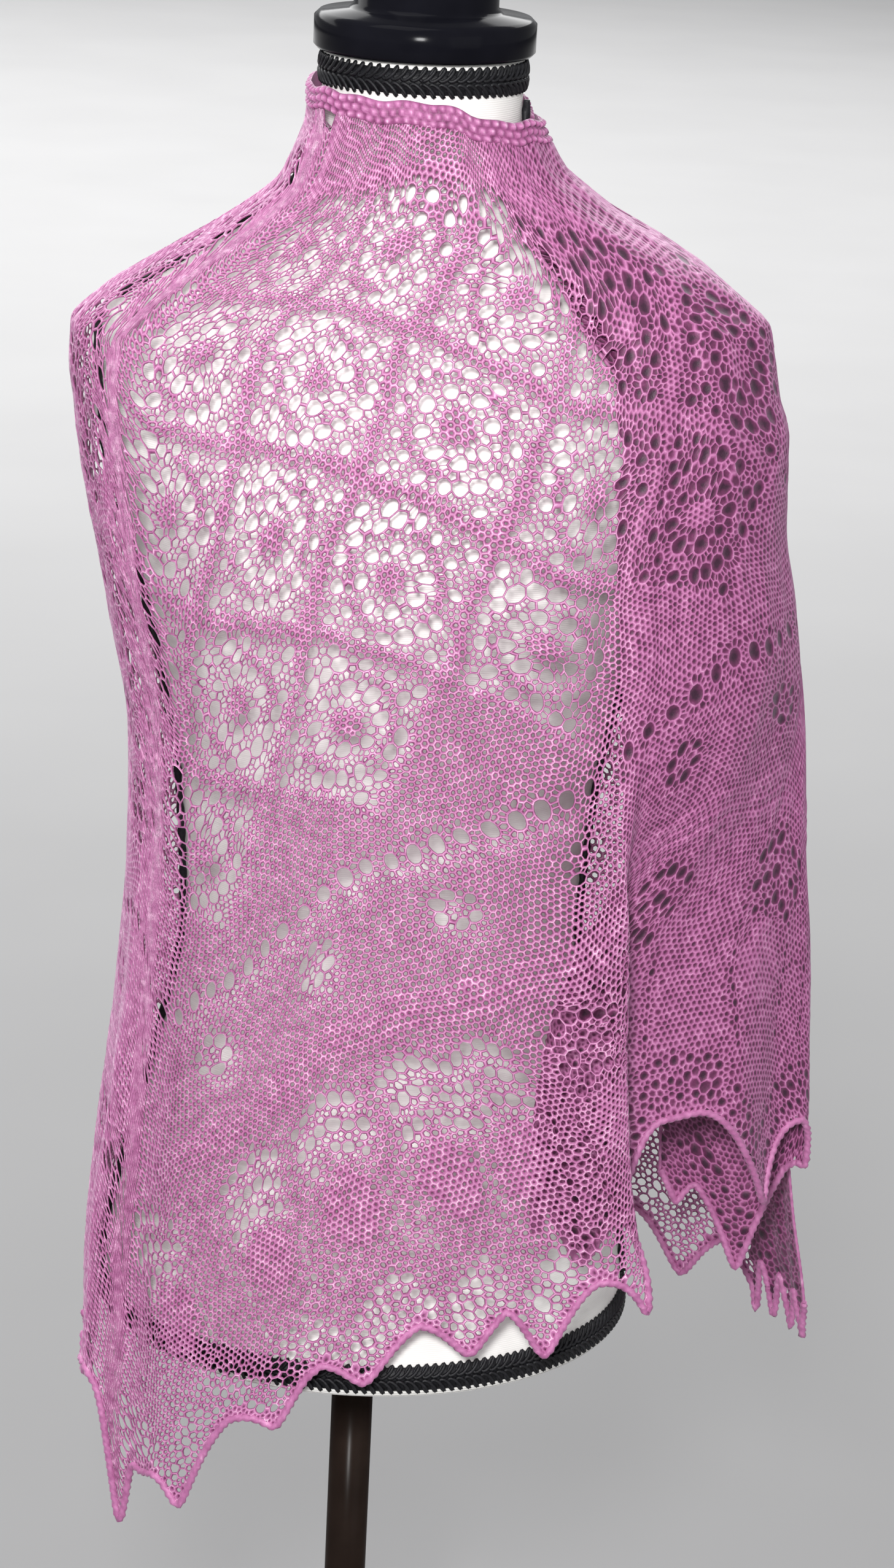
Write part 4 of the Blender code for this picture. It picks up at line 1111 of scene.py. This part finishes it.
def jersey_material():
    material, tree, surface = new_surface("cream_jersey", {"Roughness": 0.9})
    where = add_node(tree, "ShaderNodeTexCoord")
    wave = add_node(tree, "ShaderNodeTexWave", wave_type="BANDS", bands_direction="Z")
    set_inputs(wave, {"Scale": 260.0, "Distortion": 1.2, "Detail": 2.0})
    tree.links.new(where.outputs["Object"], wave.inputs["Vector"])
    shade(tree, surface, noise(tree, 60.0, 4.0), ((0.3, (0.84, 0.825, 0.79)), (0.7, (0.90, 0.885, 0.855))))
    bump(tree, surface, wave.outputs["Fac"], 0.0002, 0.35)
    return material


def gloss_material(name, colour, roughness):
    material, tree, surface = new_surface(name, {"Roughness": roughness, "Specular IOR Level": 0.04})
    lighter = tuple(c * 1.5 + 0.001 for c in colour)
    shade(tree, surface, noise(tree, 30.0, 3.0), ((0.35, colour), (0.75, lighter)))
    bump(tree, surface, noise(tree, 300.0), 0.0001, 0.08)
    return material


def trim_material():
    material, tree, surface = new_surface("black_gimp", {"Roughness": 0.5, "Specular IOR Level": 0.3})
    stops = ((0.3, (0.004, 0.004, 0.005)), (0.7, (0.015, 0.015, 0.018)))
    shade(tree, surface, noise(tree, 500.0, 3.0), stops)
    bump(tree, surface, noise(tree, 1500.0), 0.0003, 0.6)
    return material


def floor_material():
    material, tree, surface = new_surface("pale_floor", {"Roughness": 0.85})
    shade(tree, surface, noise(tree, 2.0, 3.0), ((0.3, (0.238, 0.237, 0.238)), (0.7, (0.249, 0.248, 0.249))))
    return material


def place_floor():
    corners = [(x * FLOOR_HALF, y * FLOOR_HALF, -0.5) for x, y in ((-1, -1), (1, -1), (1, 1), (-1, 1))]
    mesh_object("floor", corners, [(0, 1, 2, 3)], floor_material())


CAMERA = {
    "place": (0.041, -2.200, 1.560), "pitch": 18.0, "roll": -2.8, "focal": 4915.0,
    "frame_high": 2000.0, "sensor": 24.0,
}


def place_camera():
    data = bpy.data.cameras.new("view")
    camera = new_object("view", data)
    lean = Matrix.Rotation(math.radians(90 - CAMERA["pitch"]), 4, "X")
    roll = Matrix.Rotation(math.radians(-CAMERA["roll"]), 4, "Z")
    camera.matrix_world = Matrix.Translation(Vector(CAMERA["place"])) @ lean @ roll
    data.sensor_fit = "VERTICAL"
    data.sensor_height = CAMERA["sensor"]
    data.lens = CAMERA["sensor"] * CAMERA["focal"] / CAMERA["frame_high"]
    data.clip_end = 200.0
    bpy.context.scene.camera = camera


def soft_light(name, place, target, size, power):
    data = bpy.data.lights.new(name, "AREA")
    data.shape = "RECTANGLE"
    data.size, data.size_y = size
    data.energy = power
    lamp = new_object(name, data)
    lamp.location = place
    lamp.rotation_euler = (Vector(target) - Vector(place)).to_track_quat("-Z", "Y").to_euler()


# The lights: name, place, what they point at, size and power.
LIGHTS = (
    ("key", (-0.14, -2.35, 1.95), (0.02, 0, 0.95), (0.35, 0.35), 68),
    ("fill", (2.3, -2.4, 1.7), (0, 0, 0.85), (2.0, 2.0), 10),
    ("top", (-0.6, -0.6, 3.2), (0, 0, 1.0), (1.6, 1.6), 22),
    ("back_wash", (-3.6, 7.3, 4.0), (-3.6, 7.3, 0), (14.0, 9.0), 1760),
)


def place_lights():
    for light in LIGHTS:
        soft_light(*light)
    world = bpy.data.worlds.new("studio")
    world.use_nodes = True
    set_inputs(world.node_tree.nodes["Background"], {"Color": (0.90, 0.91, 0.93, 1), "Strength": 0.46})
    bpy.context.scene.world = world
    bpy.context.scene.view_settings.view_transform = "Standard"


# The stretches of the wrap: their sheet and the knots they lie between; two are split at a level.
SPLIT = {"shawl_front": 400.0, "shawl_back": 430.0}
STRETCHES = {
    "shawl_left": ("outer", 0.0, 1.0),
    "shawl_front": ("outer", 1.0, 5.35),
    "shawl_cascade": ("outer", 5.35, 9.3),
    "shawl_free_end": ("outer", 9.3, 11.01),
    "shawl_back": ("inner", 0.0, 5.6),
    "shawl_under": ("inner", 5.6, 8.01),
}


def cloth_size(sheet, first, last, low, high):
    """Width, length and area in metres of a stretch of the sheet."""
    knots = np.linspace(first + 0.001, last - 0.001, 80)
    shares = np.linspace(0, 1, 60)
    start = np.maximum(net_top(sheet, knots), low)
    stop = np.minimum(sheet.hem(knots), high)
    grid = np.array([sheet.point(knots, start + (stop - start) * s) for s in shares])
    across = np.linalg.norm(np.diff(grid, axis=1), axis=-1)
    fall = np.linalg.norm(np.diff(grid, axis=0), axis=-1)
    patch = np.cross(grid[1:, :-1] - grid[:-1, :-1], grid[:-1, 1:] - grid[:-1, :-1])
    area = np.linalg.norm(patch, axis=-1).sum() * 1e-6
    return float(across.sum(1).max() * MM), float(fall.sum(0).max() * MM), float(area)


def lay_cloth(sheet, first, last, low, high):
    wide, tall, area = cloth_size(sheet, first, last, low, high)
    area = min(wide * tall, max(0.3 * wide * tall, area))


def stand_in(thing, node):
    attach(thing, "root")
    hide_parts(node)


def stretch_edges(node, sheet, plan, first, last):
    """The cords along a stretch's hem and down its free side."""
    cords = [hem_cord(sheet, plan, first, last)]
    if node == "shawl_free_end":
        cords.append(side_cord(sheet, plan, 11.0, FREE_END_TOP, float(sheet.hem(11.0))))
    if node == "shawl_under":
        top = float(net_top(sheet, np.array(8.0)))
        cords.append(side_cord(sheet, plan, 8.0, top, float(sheet.hem(8.0))))
    return cords


def build_shawl(yarn):
    random = np.random.default_rng(11)
    outer_chart = Chart(OUTER, OUTER_NET, row_step(OUTER_NET), 0.02)
    inner_chart = Chart(INNER, INNER_NET, row_step(INNER_NET), 0.02)
    outer = Net(outer_chart, lace_holes(outer_chart, 0.02, 10.98, random), random)
    inner = Net(inner_chart, lace_holes(inner_chart, 0.02, 7.98, random), random)
    for node, (which, first, last) in STRETCHES.items():
        net, sheet, plan = (outer, OUTER, OUTER_NET) if which == "outer" else (inner, INNER, INNER_NET)
        stop = min(last, plan["last"])
        cords = stretch_edges(node, sheet, plan, first, stop)
        parts = ((node + "_knit", 0.0, 900.0, cords),)
        if node in SPLIT:
            middle = SPLIT[node]
            parts = ((node + "_knit_upper", 0.0, middle, []), (node + "_knit_lower", middle, 900.0, cords))
        for name, low, high, extra in parts:
            thing = net.piece(name, first, last, low, high, extra, yarn)
            stand_in(thing, node)
            lay_cloth(sheet, first, stop, low, high)
    for name, sheet, last in (("neck_edge_front", OUTER, 9.0), ("neck_edge_back", INNER, 6.0)):
        stand_in(neck_band(name + "_knit", sheet, 0.0, last, yarn), name)


def build_form():
    jersey, trim = jersey_material(), trim_material()
    plastic = gloss_material("cap_plastic_look", (0.004, 0.004, 0.006), 0.14)
    enamel = gloss_material("stand_enamel_look", (0.014, 0.009, 0.007), 0.24)
    stand_in(make_torso(jersey), "torso")
    stand_in(round_piece("cap_turned", CAP_PROFILE, (8, 0, NECK_TOP), plastic), "neck_cap")
    stand_in(gimp_braid("neck_gimp", 19.0, 2.0, trim), "neck_braid")
    stand_in(gimp_braid("hem_gimp", 767.0, 750.0, trim), "hem_braid")
    for place, rows in CORDS.items():
        for side, way in (("right", 1), ("left", -1)):
            name = "cord_" + place + "_" + side
            path = [(down, way * angle) for down, angle in rows]
            stand_in(twisted_cord(name + "_twist", path, trim), name)
    stand_in(make_collar(enamel), "collar")
    stand_in(make_base(enamel), "base")
    stand_in(make_pole(enamel), "pole")


def main():
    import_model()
    place_camera()
    place_lights()
    place_floor()
    build_form()
    build_shawl(yarn_material())


main()
